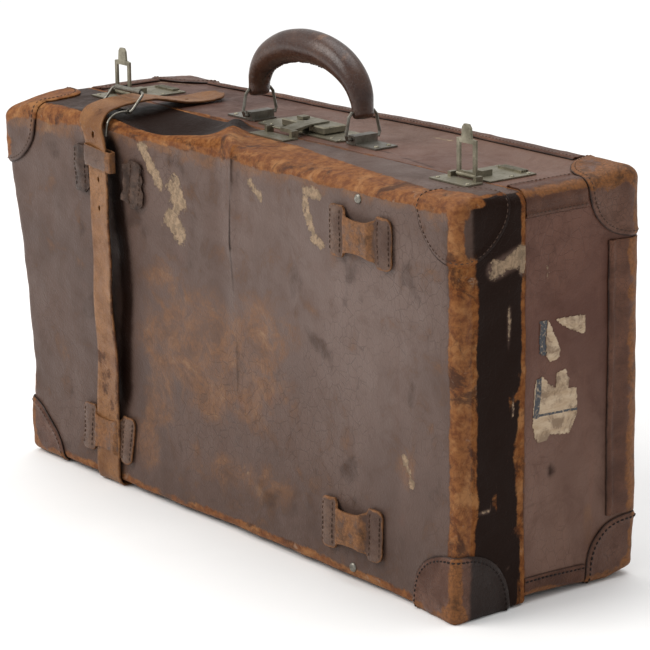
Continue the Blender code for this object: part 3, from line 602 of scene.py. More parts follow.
def lining_cloth(name):
    """A plain tick weave with faded stripes and stains."""
    look = Look(name, Sheen_Weight=0.25, Specular_IOR_Level=0.15)
    stripes = look.ramp(look.weave(9.0, "X"), 0.42, 0.58)
    thin = look.ramp(look.weave(36.0, "X"), 0.80, 0.90)
    colour = look.mix(stripes, (0.330, 0.270, 0.185), (0.250, 0.205, 0.145))
    colour = look.mix(look.math("MULTIPLY", thin, 0.5), colour, (0.130, 0.110, 0.100))
    stains = look.ramp(look.noise(9.0, 6.0, 0.66, distortion=0.5), 0.50, 0.68, 0.0, 0.6)
    colour = look.mix(stains, colour, (0.170, 0.115, 0.065))
    warp = look.weave(420.0, "X")
    weft = look.weave(420.0, "Z")
    height = look.math("ADD", look.math("MULTIPLY", warp, 0.5), look.math("MULTIPLY", weft, 0.5))
    rough_value = look.ramp(look.noise(30.0), 0.3, 0.7, 0.78, 0.92)
    return look.done(colour, rough_value, look.bump(height, 0.0004, 0.7))


def old_paper(name, ink):
    """Torn label paper, yellowed and rubbed through to the leather in places."""
    look = Look(name, Specular_IOR_Level=0.2)
    fibres = look.noise(60.0, 6.0, 0.7, stretch=(1.0, 1.0, 3.0))
    grime = look.noise(45.0, 6.0, 0.7, distortion=0.6, shift=2.0)
    colour = look.mix(look.ramp(fibres, 0.35, 0.65), (0.360, 0.255, 0.160), (0.480, 0.370, 0.260))
    colour = look.mix(look.ramp(grime, 0.48, 0.62, 0.0, 0.75), colour, (0.150, 0.095, 0.060))
    flecks = look.noise(420.0, 3.0, 0.6, shift=5.0)
    border = look.ragged(look.mark("ink"), grime, 0.8, 0.45, 0.60)
    border = look.math("MULTIPLY", border, look.ramp(flecks, 0.62, 0.52, 0.35, 0.95))
    colour = look.mix(border, colour, ink)
    gone = look.ragged(look.mark("gone"), grime, 1.2, 0.45, 0.55)
    colour = look.mix(gone, colour, (0.105, 0.050, 0.036))
    shine = look.ramp(fibres, 0.3, 0.7, 0.62, 0.80)
    return look.done(colour, shine, look.bump(fibres, 0.0003, 0.8))


def thread(name, colour):
    look = Look(name, Specular_IOR_Level=0.25)
    twist = look.noise(900.0, 2.0, 0.5)
    shade = look.mix(look.ramp(twist, 0.35, 0.65), tuple(0.55 * c for c in colour), colour)
    return look.done(shade, look.ramp(twist, 0.3, 0.7, 0.6, 0.85), look.bump(twist, 0.0003))


LID_HIDE = case_leather("lid_hide", (0.050, 0.026, 0.018), (0.082, 0.045, 0.032), (0.142, 0.098, 0.083))
BASE_HIDE = case_leather(
    "base_hide", (0.082, 0.032, 0.021), (0.135, 0.061, 0.041), (0.170, 0.106, 0.078), 0.6
)
CAP_HIDE = trim_leather("cap_hide", (0.060, 0.022, 0.011), (0.118, 0.056, 0.036), gloss=0.06)
STRIP_HIDE = trim_leather("strip_hide", (0.062, 0.023, 0.012), (0.120, 0.050, 0.028), gloss=0.05)
LOOP_HIDE = trim_leather(
    "loop_hide", (0.066, 0.034, 0.023), (0.125, 0.073, 0.050), (0.210, 0.092, 0.036), 0.05
)
STRAP_HIDE = trim_leather(
    "strap_hide", (0.130, 0.050, 0.014), (0.220, 0.098, 0.034), (0.085, 0.030, 0.010), 0.05, 0.46
)
GRIP_HIDE = trim_leather(
    "grip_hide", (0.034, 0.013, 0.008), (0.072, 0.033, 0.020), (0.150, 0.070, 0.036), 0.45, 0.27
)
RIM_HIDE = trim_leather("rim_hide", (0.040, 0.018, 0.011), (0.070, 0.034, 0.022))
STEEL = old_metal("tarnished_steel", (0.330, 0.315, 0.280), (0.120, 0.108, 0.085), (0.050, 0.034, 0.020))
BRASS = old_metal(
    "tarnished_brass", (0.370, 0.340, 0.260), (0.165, 0.150, 0.110), (0.045, 0.036, 0.022), 0.38
)
CLOTH = lining_cloth("lining_cloth")
PAPER = old_paper("label_paper", (0.040, 0.048, 0.060))
DARK_THREAD = thread("dark_thread", (0.020, 0.012, 0.010))
BROWN_THREAD = thread("brown_thread", (0.075, 0.042, 0.028))

# ---------------------------------------------------------------- the two leather shells


def open_box(half, step, inset=0.0, rim=None):
    """Five faces of a flat box, welded into one sheet that is open at the seam."""
    if half == "lid":
        y_low, y_high = FRONT_Y + inset, rim if rim is not None else LID_RIM
    else:
        y_low, y_high = rim if rim is not None else BASE_RIM, BACK_Y - inset
    xs = lines(-SIDE_X + inset, SIDE_X - inset, step)
    zs = lines(BOTTOM_Z + inset, TOP_Z - inset, step)
    ys = lines(y_low, y_high, step)
    face = y_low if half == "lid" else y_high
    points, quads = [], []

    def add(plane):
        rows, columns = plane.shape[:2]
        quads.extend(grid_quads(rows, columns, len(points)))
        points.extend(plane.reshape(-1, 3))

    a, b = np.meshgrid(xs, zs, indexing="ij")
    add(np.stack([a, np.full_like(a, face), b], axis=-1))
    a, b = np.meshgrid(xs, ys, indexing="ij")
    for z in (zs[0], zs[-1]):
        add(np.stack([a, b, np.full_like(a, z)], axis=-1))
    a, b = np.meshgrid(zs, ys, indexing="ij")
    for x in (xs[0], xs[-1]):
        add(np.stack([np.full_like(a, x), b, a], axis=-1))
    return weld(points, quads)


CREAM_SPOTS = (
    ((-0.120, 0.343), (-0.097, 0.311), 0.0085),
    ((-0.074, 0.312), (-0.069, 0.299), 0.0150),
    ((-0.079, 0.281), (-0.066, 0.268), 0.0140),
    ((0.040, 0.334), (0.056, 0.323), 0.0060),
    ((0.124, 0.340), (0.141, 0.339), 0.0070),
    ((0.122, 0.331), (0.130, 0.307), 0.0070),
    ((0.133, 0.300), (0.144, 0.296), 0.0065),
    ((0.255, 0.128), (0.266, 0.106), 0.0050),
)

TAN_SPOTS = (
    ((-0.020, 0.160), (0.125, 0.070), 1.00),
    ((-0.105, 0.120), (0.040, 0.070), 0.75),
    ((0.060, 0.200), (0.070, 0.045), 0.75),
    ((-0.090, 0.215), (0.050, 0.040), 0.60),
    ((0.020, 0.060), (0.150, 0.035), 0.55),
    ((0.258, 0.118), (0.014, 0.022), 0.90),
    ((-0.245, 0.240), (0.030, 0.020), 0.35),
    ((0.150, 0.130), (0.060, 0.050), 0.35),
    ((-0.125, 0.050), (0.030, 0.035), 0.70),
)


def spots_on(a, b, spots):
    found = np.zeros_like(a)
    for centre, size, height in spots:
        found = np.maximum(found, height * blob(a, b, centre, size))
    return found


def lid_marks(p):
    """Where the lid is worn, tanned, dark and stained with old label paste, with painted shade on its sunken
    top, a painted strap shadow and painted sheen.
    """
    x, y, z = p.T
    on_front = ease(FRONT_Y + 0.010, FRONT_Y + 0.004, y)
    on_top = ease(TOP_Z - 0.010, TOP_Z - 0.004, z)
    on_right = ease(SIDE_X - 0.010, SIDE_X - 0.004, x)
    on_left = ease(-SIDE_X + 0.010, -SIDE_X + 0.004, x)
    wobble = 0.5 * rough(p, 0.050, 21)
    # Front face: a rubbed band below the top edge, a thin one at the bottom and at both ends
    band = 0.011 + 0.008 * wobble + 0.006 * blob(x, z, (-0.245, 0.35), (0.03, 0.1))
    wear = on_front * ease(TOP_Z - 1.5 * band, TOP_Z - 0.5 * band, z)
    wear = np.maximum(wear, on_front * ease(BOTTOM_Z + 0.017, BOTTOM_Z + 0.004, z)
                      * (0.62 + 0.55 * wobble + 0.22 * ease(-0.10, 0.10, x)))
    wear = np.maximum(wear, on_front * ease(SIDE_X - 0.017, SIDE_X - 0.006, x) * 0.90)
    wear = np.maximum(wear, on_front * ease(-SIDE_X + 0.012, -SIDE_X + 0.001, x) * 0.62)
    # Top: the band reaches back to the hardware right of the kink, and stays at the edge left of it
    back_to = np.interp(x, [-0.34, -0.17, -0.08, -0.03, 0.05, 0.12, 0.20, 0.28, 0.34],
                        [-0.088, -0.090, -0.093, -0.050, -0.052, -0.062, -0.070, -0.078, -0.070])
    back_to = back_to + 0.006 * wobble
    wear = np.maximum(wear, on_top * ease(back_to + 0.006, back_to - 0.006, y))
    # Ends: a wide ragged strip along the front edge, a thin line at the rim
    wear = np.maximum(wear, on_right * ease(-0.073, -0.084, y + 0.005 * wobble) * ease(0.33, 0.30, z))
    rim = 0.0055 + 0.010 * ease(0.22, 0.12, z) * ease(0.05, 0.09, z) * (0.6 + wobble)
    wear = np.maximum(wear, on_right * ease(LID_RIM - 1.4 * rim, LID_RIM - 0.4 * rim, y) * 0.80)
    wear = np.maximum(wear, on_top * ease(LID_RIM - 0.006, LID_RIM - 0.001, y) * 0.9 * ease(0.30, 0.0, x))
    wear = np.maximum(wear, on_left * ease(-0.083, -0.094, y) * 0.8)
    wear = np.maximum(wear, on_left * ease(LID_RIM - 0.006, LID_RIM - 0.0015, y) * 0.8)
    tan = on_front * spots_on(x, z, TAN_SPOTS)
    tan = np.maximum(tan, 0.30 * on_front)
    tan = np.maximum(tan, 0.75 * on_front * ease(TOP_Z - 2.9 * band, TOP_Z - 1.0 * band, z))
    # Pale tone on the front, partly painted sheen: the soft spot high on the middle of the front is painted
    # sheen
    pale_and_sheen = 0.26 + 0.62 * blob(x, z, (0.09, 0.285), (0.20, 0.10))
    pale_and_sheen = pale_and_sheen + 0.45 * blob(x, z, (0.22, 0.19), (0.09, 0.12))
    pale_and_sheen = on_front * (pale_and_sheen + 0.20 * blob(x, z, (-0.26, 0.29), (0.07, 0.08)))
    # Dark stripe just right of the strap: partly a real stain, partly a painted shadow cast by the strap
    # standing off the face
    stain_and_strap_shadow = on_front * np.exp(-(((x + 0.161 + 0.006 * np.sin(z * 22)) / 0.011) ** 2))
    dark = 0.95 * stain_and_strap_shadow * ease(0.055, 0.10, z) * ease(0.357, 0.335, z)
    dark = np.maximum(dark, 0.25 * on_front * blob(x, z, (0.16, 0.035), (0.18, 0.045)))
    dark = np.maximum(dark, 0.26 * on_front * blob(x, z, (-0.06, 0.285), (0.05, 0.07)))
    dark = np.maximum(dark, on_right * ease(-0.088, -0.080, y))
    # Painted shade: the sunken dish left of the kink is painted dark, and the whole lid top left of the kink
    # somewhat darker
    dent_shade = on_top * 0.86 * ease(-0.010, -0.045, x + 0.5 * (y + 0.06)) * ease(-0.19, -0.165, x)
    dark = np.maximum(dark, dent_shade)
    dark = np.maximum(dark, on_top * 0.45 * ease(0.02, -0.03, x))
    # Painted highlight on the lid top, right of the kink
    pale_and_sheen = pale_and_sheen + on_top * 0.55 * ease(0.0, 0.05, x) * ease(0.32, 0.24, x)
    dark = np.maximum(dark, 0.60 * ease(0.304, 0.320, x) * blob(z, z, (0.300, 0.300), (0.05, 0.05)))
    patches = rough(np.c_[x, 2.2 * y, z], 0.040, 23)
    dark = np.maximum(dark, 0.35 * on_front * ease(0.25, 0.65, patches))
    line = from_segment(x, z, (0.015, 0.364), (0.010, 0.268))
    dark = np.maximum(dark, on_front * 0.75 * np.exp(-((line / 0.0022) ** 2)))
    line = from_segment(x, z, (0.010, 0.268), (0.016, 0.130))
    dark = np.maximum(dark, on_front * 0.48 * np.exp(-((line / 0.0020) ** 2)))
    cream = np.zeros_like(x)
    for start, end, width in CREAM_SPOTS:
        d = from_segment(x, z, start, end)
        cream = np.maximum(cream, on_front * np.clip(1.25 - d / width, 0.0, 0.85))
    rust = rough(np.c_[x, 1.6 * y, 0.6 * z], 0.030, 24) + 0.4 * ease(-0.055, -0.030, y)
    wear = np.maximum(wear, on_right * 0.52 * ease(0.45, 0.80, rust) * ease(0.31, 0.28, z))
    for start, end in (((-0.078, 0.098), (-0.062, 0.098)), ((-0.078, 0.091), (-0.064, 0.092)),
                       ((-0.046, 0.268), (-0.041, 0.170)), ((-0.062, 0.042), (-0.045, 0.038))):
        thin_line = np.clip(1.4 - from_segment(y, z, start, end) / 0.0011, 0, 1)
        cream = np.maximum(cream, on_right * 0.62 * thin_line)
    bare = np.maximum(
        np.clip(1.2 - from_segment(y, z, (-0.060, 0.300), (-0.034, 0.309)) / 0.011, 0, 1),
        np.clip(1.1 - from_segment(y, z, (-0.032, 0.315), (-0.031, 0.296)) / 0.007, 0, 1),
    )
    cream = np.maximum(cream, on_right * 0.9 * bare)
    dark = dark * (1 - np.clip(1.4 * cream, 0, 1))
    return {"wear": wear, "tan": tan, "dark": dark, "cream": cream, "pale_and_sheen": pale_and_sheen}


def base_marks(p):
    """The base is redder and less rubbed: only its rim and its outer edges show bare hide."""
    x, y, z = p.T
    on_top = ease(TOP_Z - 0.010, TOP_Z - 0.004, z)
    on_end = ease(SIDE_X - 0.010, SIDE_X - 0.004, abs(x))
    on_back = ease(BACK_Y - 0.010, BACK_Y - 0.004, y)
    wobble = 0.5 * rough(p, 0.045, 31)
    rim = ease(BASE_RIM + 0.006, BASE_RIM + 0.001, y)
    wear = 0.62 * rim * (0.8 + wobble)
    wear = np.maximum(wear, on_top * ease(0.294, 0.318, abs(x) + 0.008 * wobble) * 0.60)
    wear = np.maximum(wear, on_back * ease(0.012, 0.004, z) * 0.7)
    tan = 0.30 * on_end * blob(y, z, (0.05, 0.06), (0.006, 0.022)) * 3.0
    tan = np.maximum(tan, 0.35 * on_back * ease(-0.2, 0.5, wobble))
    tan = np.maximum(tan, 0.25 * on_top)
    dark = 0.70 * on_end * blob(y, z, (0.007, 0.112), (0.006, 0.007))
    dark = np.maximum(dark, 0.30 * on_end * ease(0.05, 0.07, y))
    dark = np.maximum(dark, 0.24 * on_end * ease(0.20, 0.30, z))
    dark = np.maximum(dark, 0.40 * on_top * ease(0.02, -0.16, x))
    groove = from_segment(x, y, (0.10, -0.006), (0.20, -0.020)) / 0.0022
    dark = np.maximum(dark, 0.55 * on_top * np.exp(-(groove**2)))
    cream = on_end * 0.7 * blob(y, z, (0.003, 0.291), (0.004, 0.009))
    for start, end, width in (((0.155, 0.083), (0.190, 0.086), 0.005), ((0.10, 0.060), (0.13, 0.064), 0.003),
                              ((-0.30, 0.04), (-0.27, 0.06), 0.003)):
        cream = np.maximum(cream, on_top * np.clip(1.2 - from_segment(x, y, start, end) / width, 0, 0.7))
    # Pale tone, partly painted sheen: the base top is painted paler towards the back and the right
    pale_and_sheen = on_top * (0.30 + 0.4 * ease(0.0, 0.08, y)) * ease(-0.25, 0.10, x)
    pale_and_sheen = pale_and_sheen + 0.50 * on_end * ease(0.26, 0.08, z) + 0.15 * on_back
    return {"wear": wear, "tan": tan, "dark": dark, "cream": cream, "pale_and_sheen": pale_and_sheen}


def make_shells():
    points, quads = open_box("lid", 0.0042)
    lid = sheet("lid_shell", settle(points, "lid"), quads, WALL)
    paint(lid, **lid_marks(points))
    finish_piece(lid, LID_HIDE, "lid", ["lid_wall", "lid_front_panel"])
    points, quads = open_box("base", 0.0050)
    base = sheet("base_shell", settle(points, "base"), quads, WALL)
    paint(base, **base_marks(points))
    finish_piece(base, BASE_HIDE, "base", ["base_wall", "base_back_panel"])
    for half in ("lid", "base"):
        low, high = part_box(f"{half}_lining")
        mouth = high.y if half == "lid" else low.y
        points, quads = open_box(half, 0.009, inset=WALL + 0.0006, rim=mouth)
        tray = sheet(f"{half}_cloth", settle_inside(points, half), quads, 0.0012)
        finish_piece(tray, CLOTH, half, [f"{half}_lining"])


def settle_inside(points, half):
    """The lining follows the shell that it is glued to."""
    inset = WALL + 0.0006
    grown = np.array(points, float)
    middle = np.array([0.0, FRONT_Y if half == "lid" else BACK_Y, CASE_CENTRE.z])
    sign = np.sign(grown - middle)
    outer = grown.copy()
    at_side = abs(abs(grown[:, 0]) - (SIDE_X - inset)) < 1e-5
    outer[at_side, 0] = sign[at_side, 0] * SIDE_X
    at_top = abs(grown[:, 2] - (TOP_Z - inset)) < 1e-5
    at_bottom = abs(grown[:, 2] - (BOTTOM_Z + inset)) < 1e-5
    outer[at_top, 2] = TOP_Z
    outer[at_bottom, 2] = BOTTOM_Z
    face = FRONT_Y if half == "lid" else BACK_Y
    inward = 1 if half == "lid" else -1
    at_face = abs(grown[:, 1] - (face + inward * inset)) < 1e-5
    outer[at_face, 1] = face
    return settle(outer, half, lift=-inset)


# ---------------------------------------------------------------- corner caps and edge strips

EDGE_ANGLES = [math.pi / 4 * (1 - math.cos(math.pi * t / 22)) for t in range(23)]


def cap_reach(angle, bulge):
    """How far a cap's edge is from its corner. It is the same on both sides of each case edge."""
    return CAP_RADIUS * (1 + bulge * math.sin(2 * angle) ** 2)


def corner_cap(half, sx, sz, bulge):
    """A leather cap over the three faces of one corner, stitched near its edge."""
    face = FRONT_Y if half == "lid" else BACK_Y
    corner = Vector((sx * SIDE_X, face, TOP_Z if sz > 0 else BOTTOM_Z))
    to_x, to_y, to_z = Vector((-sx, 0, 0)), Vector((0, 1 if half == "lid" else -1, 0)), Vector((0, 0, -sz))
    rings = 22
    points, quads, edge, seams = [], [], [], []
    for first, second in ((to_x, to_z), (to_x, to_y), (to_y, to_z)):
        start = len(points)
        for r in range(rings + 1):
            for angle in EDGE_ANGLES:
                reach = cap_reach(angle, bulge) * r / rings
                points.append(corner + reach * (math.cos(angle) * first + math.sin(angle) * second))
                edge.append(r / rings)
        quads += grid_quads(rings + 1, len(EDGE_ANGLES), start)
        near = [cap_reach(a, bulge) - 0.0042 for a in EDGE_ANGLES]
        seams.append([corner + n * (math.cos(a) * first + math.sin(a) * second)
                      for n, a in zip(near, EDGE_ANGLES)])
    rest, quads = weld(points, quads)
    lookup = {tuple(np.round(np.array(p) * 2e5).astype(np.int64)): e for p, e in zip(points, edge)}
    share = np.array([lookup[tuple(np.round(p * 2e5).astype(np.int64))] for p in rest])
    lift = CAP_LIFT - 0.0009 * ease(0.93, 1.0, share)
    lift = lift + 0.0006 * rough(rest, 0.018, 41) + 0.0008 * ease(0.86, 0.92, share) * ease(1.0, 0.94, share)
    name = f"{half}_cap_{'top' if sz > 0 else 'bottom'}_{'right' if sx > 0 else 'left'}"
    cap = sheet(name, settle(rest, half, lift[:, None]), quads, 0.0021, bevel=0.0004)
    from_corner = np.linalg.norm(rest - np.array(corner), axis=1)
    near_edges = np.min(np.sort(np.abs(rest - np.array(corner)), axis=1)[:, 1:2], axis=1)
    wobble = rough(rest, 0.020, 42)
    wear = ease(0.013, 0.001, near_edges) * (0.84 + 0.5 * wobble)
    wear = np.maximum(wear, ease(0.026, 0.008, from_corner))
    dark = ease(0.94, 1.0, share) * 0.75
    if half == "lid" and sx > 0:
        on_end = ease(SIDE_X - 0.006, SIDE_X - 0.001, rest[:, 0])
        dark = np.maximum(dark, on_end * ease(-0.092, -0.080, rest[:, 1]) * 0.85)
        wear = wear * (1 - 0.8 * on_end * ease(-0.092, -0.080, rest[:, 1]))
    if half == "lid" and sx < 0:
        side = ease(-0.308, -0.322, rest[:, 0] + 0.006 * wobble)
        wear = np.maximum(wear, np.maximum(side, ease(TOP_Z - 0.016, TOP_Z - 0.004, rest[:, 2])) * 0.85)
    if half == "base" and sx > 0 and sz > 0:
        wear = np.maximum(wear, ease(TOP_Z - 0.022, TOP_Z - 0.006, rest[:, 2]) * (0.70 + 0.4 * wobble))
    blends_in = half == "lid" and sz > 0
    if blends_in:
        marks = lid_marks(rest)
        marks["wear"] = np.maximum(wear, marks["wear"])
        marks["dark"] = np.maximum(dark, 0.8 * marks["dark"])
        paint(cap, **marks)
    else:
        paint(cap, wear=wear, dark=dark)
    vertical, side = ("top" if sz > 0 else "bottom"), ("right" if sx > 0 else "left")
    hide = LID_HIDE if blends_in else CAP_HIDE
    finish_piece(cap, hide, half, [f"{half}_corner_{vertical}_{side}"])
    return seams


def surface_line(points, half, lift):
    """A line on the leather, with the outward direction at each of its points."""
    on = settle(points, half, lift)
    above = settle(points, half, lift + 0.002)
    return on, above - on


def edge_strip(name, half, start, end, first, second, reach, lift=STRIP_LIFT, steps=None, welt=0.0009):
    """A folded strip along a case edge, from start to end, reaching over the faces on both sides."""
    start, end = Vector(start), Vector(end)
    count = steps or max(8, round((end - start).length / 0.006))
    across = [-reach[0] + (reach[0] + reach[1]) * k / 26 for k in range(27)]
    points = []
    for i in range(count + 1):
        middle = start.lerp(end, i / count)
        for a in across:
            points.append(middle + (first * -a if a < 0 else second * a))
    points = np.array(points)
    share = np.tile(np.abs(np.linspace(-1, 1, 27)), count + 1)
    raised = lift - 0.0010 * ease(0.93, 1.0, share) + 0.0005 * rough(points, 0.020, 51)
    raised = raised + welt * ease(0.76, 0.86, share) * ease(0.99, 0.90, share)
    obj = sheet(name, settle(points, half, raised[:, None]), grid_quads(count + 1, 27), 0.0016, bevel=0.0003)
    fold = ease(0.0, 0.62, share)
    wear = (1 - fold) * (0.90 + 0.5 * rough(points, 0.030, 52))
    paint(obj, wear=wear, dark=ease(0.92, 1.0, share) * 0.75)
    borders = []
    for edge_reach, direction in ((reach[0], first), (reach[1], second)):
        to_border = direction * (edge_reach - 0.0035)
        borders.append([start.lerp(end, t) + to_border for t in np.linspace(0, 1, 30)])
    return obj, borders


def make_trim():
    right, left = Vector((1, 0, 0)), Vector((-1, 0, 0))
    front, up, down = Vector((0, -1, 0)), Vector((0, 0, 1)), Vector((0, 0, -1))
    threads = {"lid": Gathered(), "base": Gathered()}
    black = {"lid": Gathered(), "base": Gathered()}
    for half in ("lid", "base"):
        for sx in (-1, 1):
            for sz in (-1, 1):
                bulge = {(-1, 1): 0.10, (-1, -1): -0.10, (1, 1): 0.02, (1, -1): 0.05}[(sx, sz)]
                seams = corner_cap(half, sx, sz, bulge)
                for seam in seams:
                    line, outward = surface_line(seam, half, CAP_LIFT + 0.0004)
                    kind = black if (sx > 0 and sz < 0) else threads
                    thick = 0.00080 if (sx > 0 and sz < 0) else 0.00050
                    sew(kind[half], line, list(outward), radius=thick)
    gap = CAP_RADIUS + 0.001
    back_low, back_high = BOTTOM_Z + gap, TOP_Z - gap
    strap_edge = STRAP_HIGH.x + 0.002
    runs = [
        ("base_strip_back_left", (-SIDE_X, BACK_Y, back_low), (-SIDE_X, BACK_Y, back_high), right, front,
         (0.026, 0.030), ["base_binding_left"]),
        ("base_strip_back_right", (SIDE_X, BACK_Y, back_low), (SIDE_X, BACK_Y, back_high), left, front,
         (0.026, 0.030), ["base_binding_right"]),
        ("base_strip_back_top", (-SIDE_X + gap, BACK_Y, TOP_Z), (SIDE_X - gap, BACK_Y, TOP_Z), down, front,
         (0.024, 0.022), ["base_binding_top"]),
        ("base_strip_back_bottom", (strap_edge, BACK_Y, BOTTOM_Z),
         (SIDE_X - gap, BACK_Y, BOTTOM_Z), up, front,
         (0.024, 0.022), ["base_binding_bottom"]),
    ]
    for side, x, inward in (("left", -SIDE_X, right), ("right", SIDE_X, left)):
        for place, z, onto in (("top", TOP_Z, down), ("bottom", BOTTOM_Z, up)):
            reach = (0.024, 0.023) if place == "top" else (0.020, 0.017)
            runs.append((f"base_strip_{place}_{side}", (x, BASE_RIM + 0.0008, z), (x, BACK_Y - gap, z),
                         inward, onto, reach, []))
    for name, start, end, first, second, reach, nodes in runs:
        welt = 0.0022 if name == "base_strip_back_right" else 0.0009
        strip, borders = edge_strip(name, "base", start, end, first, second, reach, welt=welt)
        finish_piece(strip, STRIP_HIDE, "base", nodes)
        for border in borders:
            line, outward = surface_line(border, "base", STRIP_LIFT + 0.0004)
            heavy = name.startswith("base_strip_bottom_right")
            thread_set = black if heavy else threads
            sew(thread_set["base"], line, list(outward), radius=0.0009 if heavy else 0.00050)
    for half in ("lid", "base"):
        threads[half].piece(f"{half}_stitches", BROWN_THREAD, half)
        black[half].piece(f"{half}_stitches_heavy", DARK_THREAD, half)


# ---------------------------------------------------------------- loops for the straps

LOOP_HALF = 0.042
TAB_INNER = 0.0225
LOOP_TALL = 0.023
BAND_TALL = 0.0145


def loop_half_height(u):
    """Half of a loop's height at this distance from its middle."""
    u = abs(u)
    if u < TAB_INNER - 0.001:
        return BAND_TALL + 0.0045 * (u / TAB_INNER) ** 2.4
    if u < TAB_INNER + 0.0012:
        t = (u - TAB_INNER + 0.001) / 0.0022
        return BAND_TALL + 0.0045 + (LOOP_TALL - BAND_TALL - 0.0045) * t
    corner = 0.007
    past = max(0.0, (u - (LOOP_HALF - corner)) / corner)
    return LOOP_TALL - corner * (1 - math.sqrt(max(0.0, 1 - past * past))) * 0.85


def loop_lift(u, v):
    """How high a loop stands off the case."""
    u = abs(u)
    band = 0.0058 * float(ease(TAB_INNER + 0.0015, TAB_INNER - 0.0075, u))
    roll = 0.0022 * math.sin(math.pi * min(1.0, max(0.0, (u - TAB_INNER) / (LOOP_HALF - TAB_INNER)))) ** 0.7
    return 0.0031 + band + roll * (1 - 0.35 * v * v)


def strap_loop(name, half, x, z, node, low=-LOOP_HALF, high=LOOP_HALF, torn=0.0, tilt=0.0):
    """An H-shaped loop, or only a part of one when low or high leaves out the rest."""
    face = FRONT_Y if half == "lid" else BACK_Y
    outward = -1 if half == "lid" else 1
    us = sorted(set(
        list(np.linspace(-LOOP_HALF, LOOP_HALF, 57))
        + [s * (TAB_INNER + d) for s in (-1, 1) for d in (-0.0012, 0.0013)]
    ))
    us = [u for u in us if low - 1e-9 <= u <= high + 1e-9]
    rows = 15
    points, edge, rubbed = [], [], []
    for u in us:
        for k in range(rows):
            v = -1 + 2 * k / (rows - 1)
            ragged = torn * noise.noise(Vector((u * 90, v * 2.3, x * 40)))
            across = u + ragged * (1.0 if torn else 0.0)
            tall = v * loop_half_height(u)
            lift = loop_lift(u, v) + 0.0006 * noise.noise(Vector((u * 60, v * 2, z * 30)))
            turned = Vector((across, 0, tall))
            turned.rotate(Matrix.Rotation(tilt, 3, "Y"))
            points.append((x + turned.x, face + outward * lift, z + turned.z))
            edge.append(max(abs(v) ** 6, float(ease(LOOP_HALF - 0.003, LOOP_HALF, abs(u)))))
            rubbed.append(float(ease(TAB_INNER + 0.004, TAB_INNER - 0.004, abs(u))))
    flat = np.array(points)
    flat[:, 1] = face
    moved = WARPS[half](flat) - flat
    obj = sheet(name, np.array(points) + moved, grid_quads(len(us), rows), 0.0023, bevel=0.0004)
    edge, rubbed = np.array(edge), np.array(rubbed)
    old = 0.55 if torn else 0.0
    paint(obj, wear=np.maximum(0.70 * edge, 0.62 * rubbed) * (1 - old), dark=np.maximum(old, 0.25 * edge))
    finish_piece(obj, LOOP_HIDE, half, [node])
    threads = Gathered()
    for sign in (-1, 1):
        for u in (TAB_INNER + 0.0035, LOOP_HALF - 0.0028):
            if not low - 1e-9 <= sign * u <= high + 1e-9:
                continue
            line = []
            for v in np.linspace(-0.86, 0.86, 24):
                turned = Vector((sign * u, 0, v * loop_half_height(u)))
                turned.rotate(Matrix.Rotation(tilt, 3, "Y"))
                line.append((x + turned.x, face + outward * (loop_lift(u, v) + 0.0001), z + turned.z))
            line = np.array(line)
            under = line.copy()
            under[:, 1] = face
            line = line + WARPS[half](under) - under
            sew(threads, line, Vector((0, outward, 0)), radius=0.00042)
    threads.piece(name + "_stitches", BROWN_THREAD, half)


def make_loops():
    for half, prefix in (("lid", "front"), ("base", "back")):
        for vertical, height in (("lower", 0.050), ("upper", 0.308)):
            for side, middle in (("left", -0.190), ("right", 0.190)):
                node = f"{prefix}_loop_{vertical}_{side}"
                x, z = middle, height
                if node == "front_loop_upper_left":
                    continue
                if node == "front_loop_upper_right":
                    x, z = x + 0.012, z + 0.005
                tilt = {"front_loop_upper_right": 0.03, "front_loop_lower_right": -0.04}.get(node, 0.02)
                strap_loop(node + "_leather", half, x, z, node, tilt=tilt)
    x, z = STRAP_X + float(strap_sway(TORN_LOOP_Z)), TORN_LOOP_Z
    strap_loop("torn_tab_left", "lid", x, z, "torn_loop_tab_outer",
               high=-TAB_INNER + 0.0013, torn=0.004, tilt=0.05)
    strap_loop("torn_tab_right", "lid", x + TORN_TAB_SHIFT, z, "torn_loop_tab_inner",
               low=TAB_INNER - 0.0050, torn=0.006,
               tilt=0.10)


# ---------------------------------------------------------------- strap, keeper, buckle


def catmull(points, steps):
    """A smooth curve through the given points."""
    points = [Vector(p) for p in points]
    line = [2 * points[0] - points[1], *points, 2 * points[-1] - points[-2]]
    found = []
    for a, b, c, d in zip(line, line[1:], line[2:], line[3:]):
        for i in range(steps):
            t = i / steps
            bend = (2 * a - 5 * b + 4 * c - d) * t**2 + (3 * b - a - 3 * c + d) * t**3
            found.append(0.5 * (2 * b + (c - a) * t + bend))
    return found + [points[-1]]


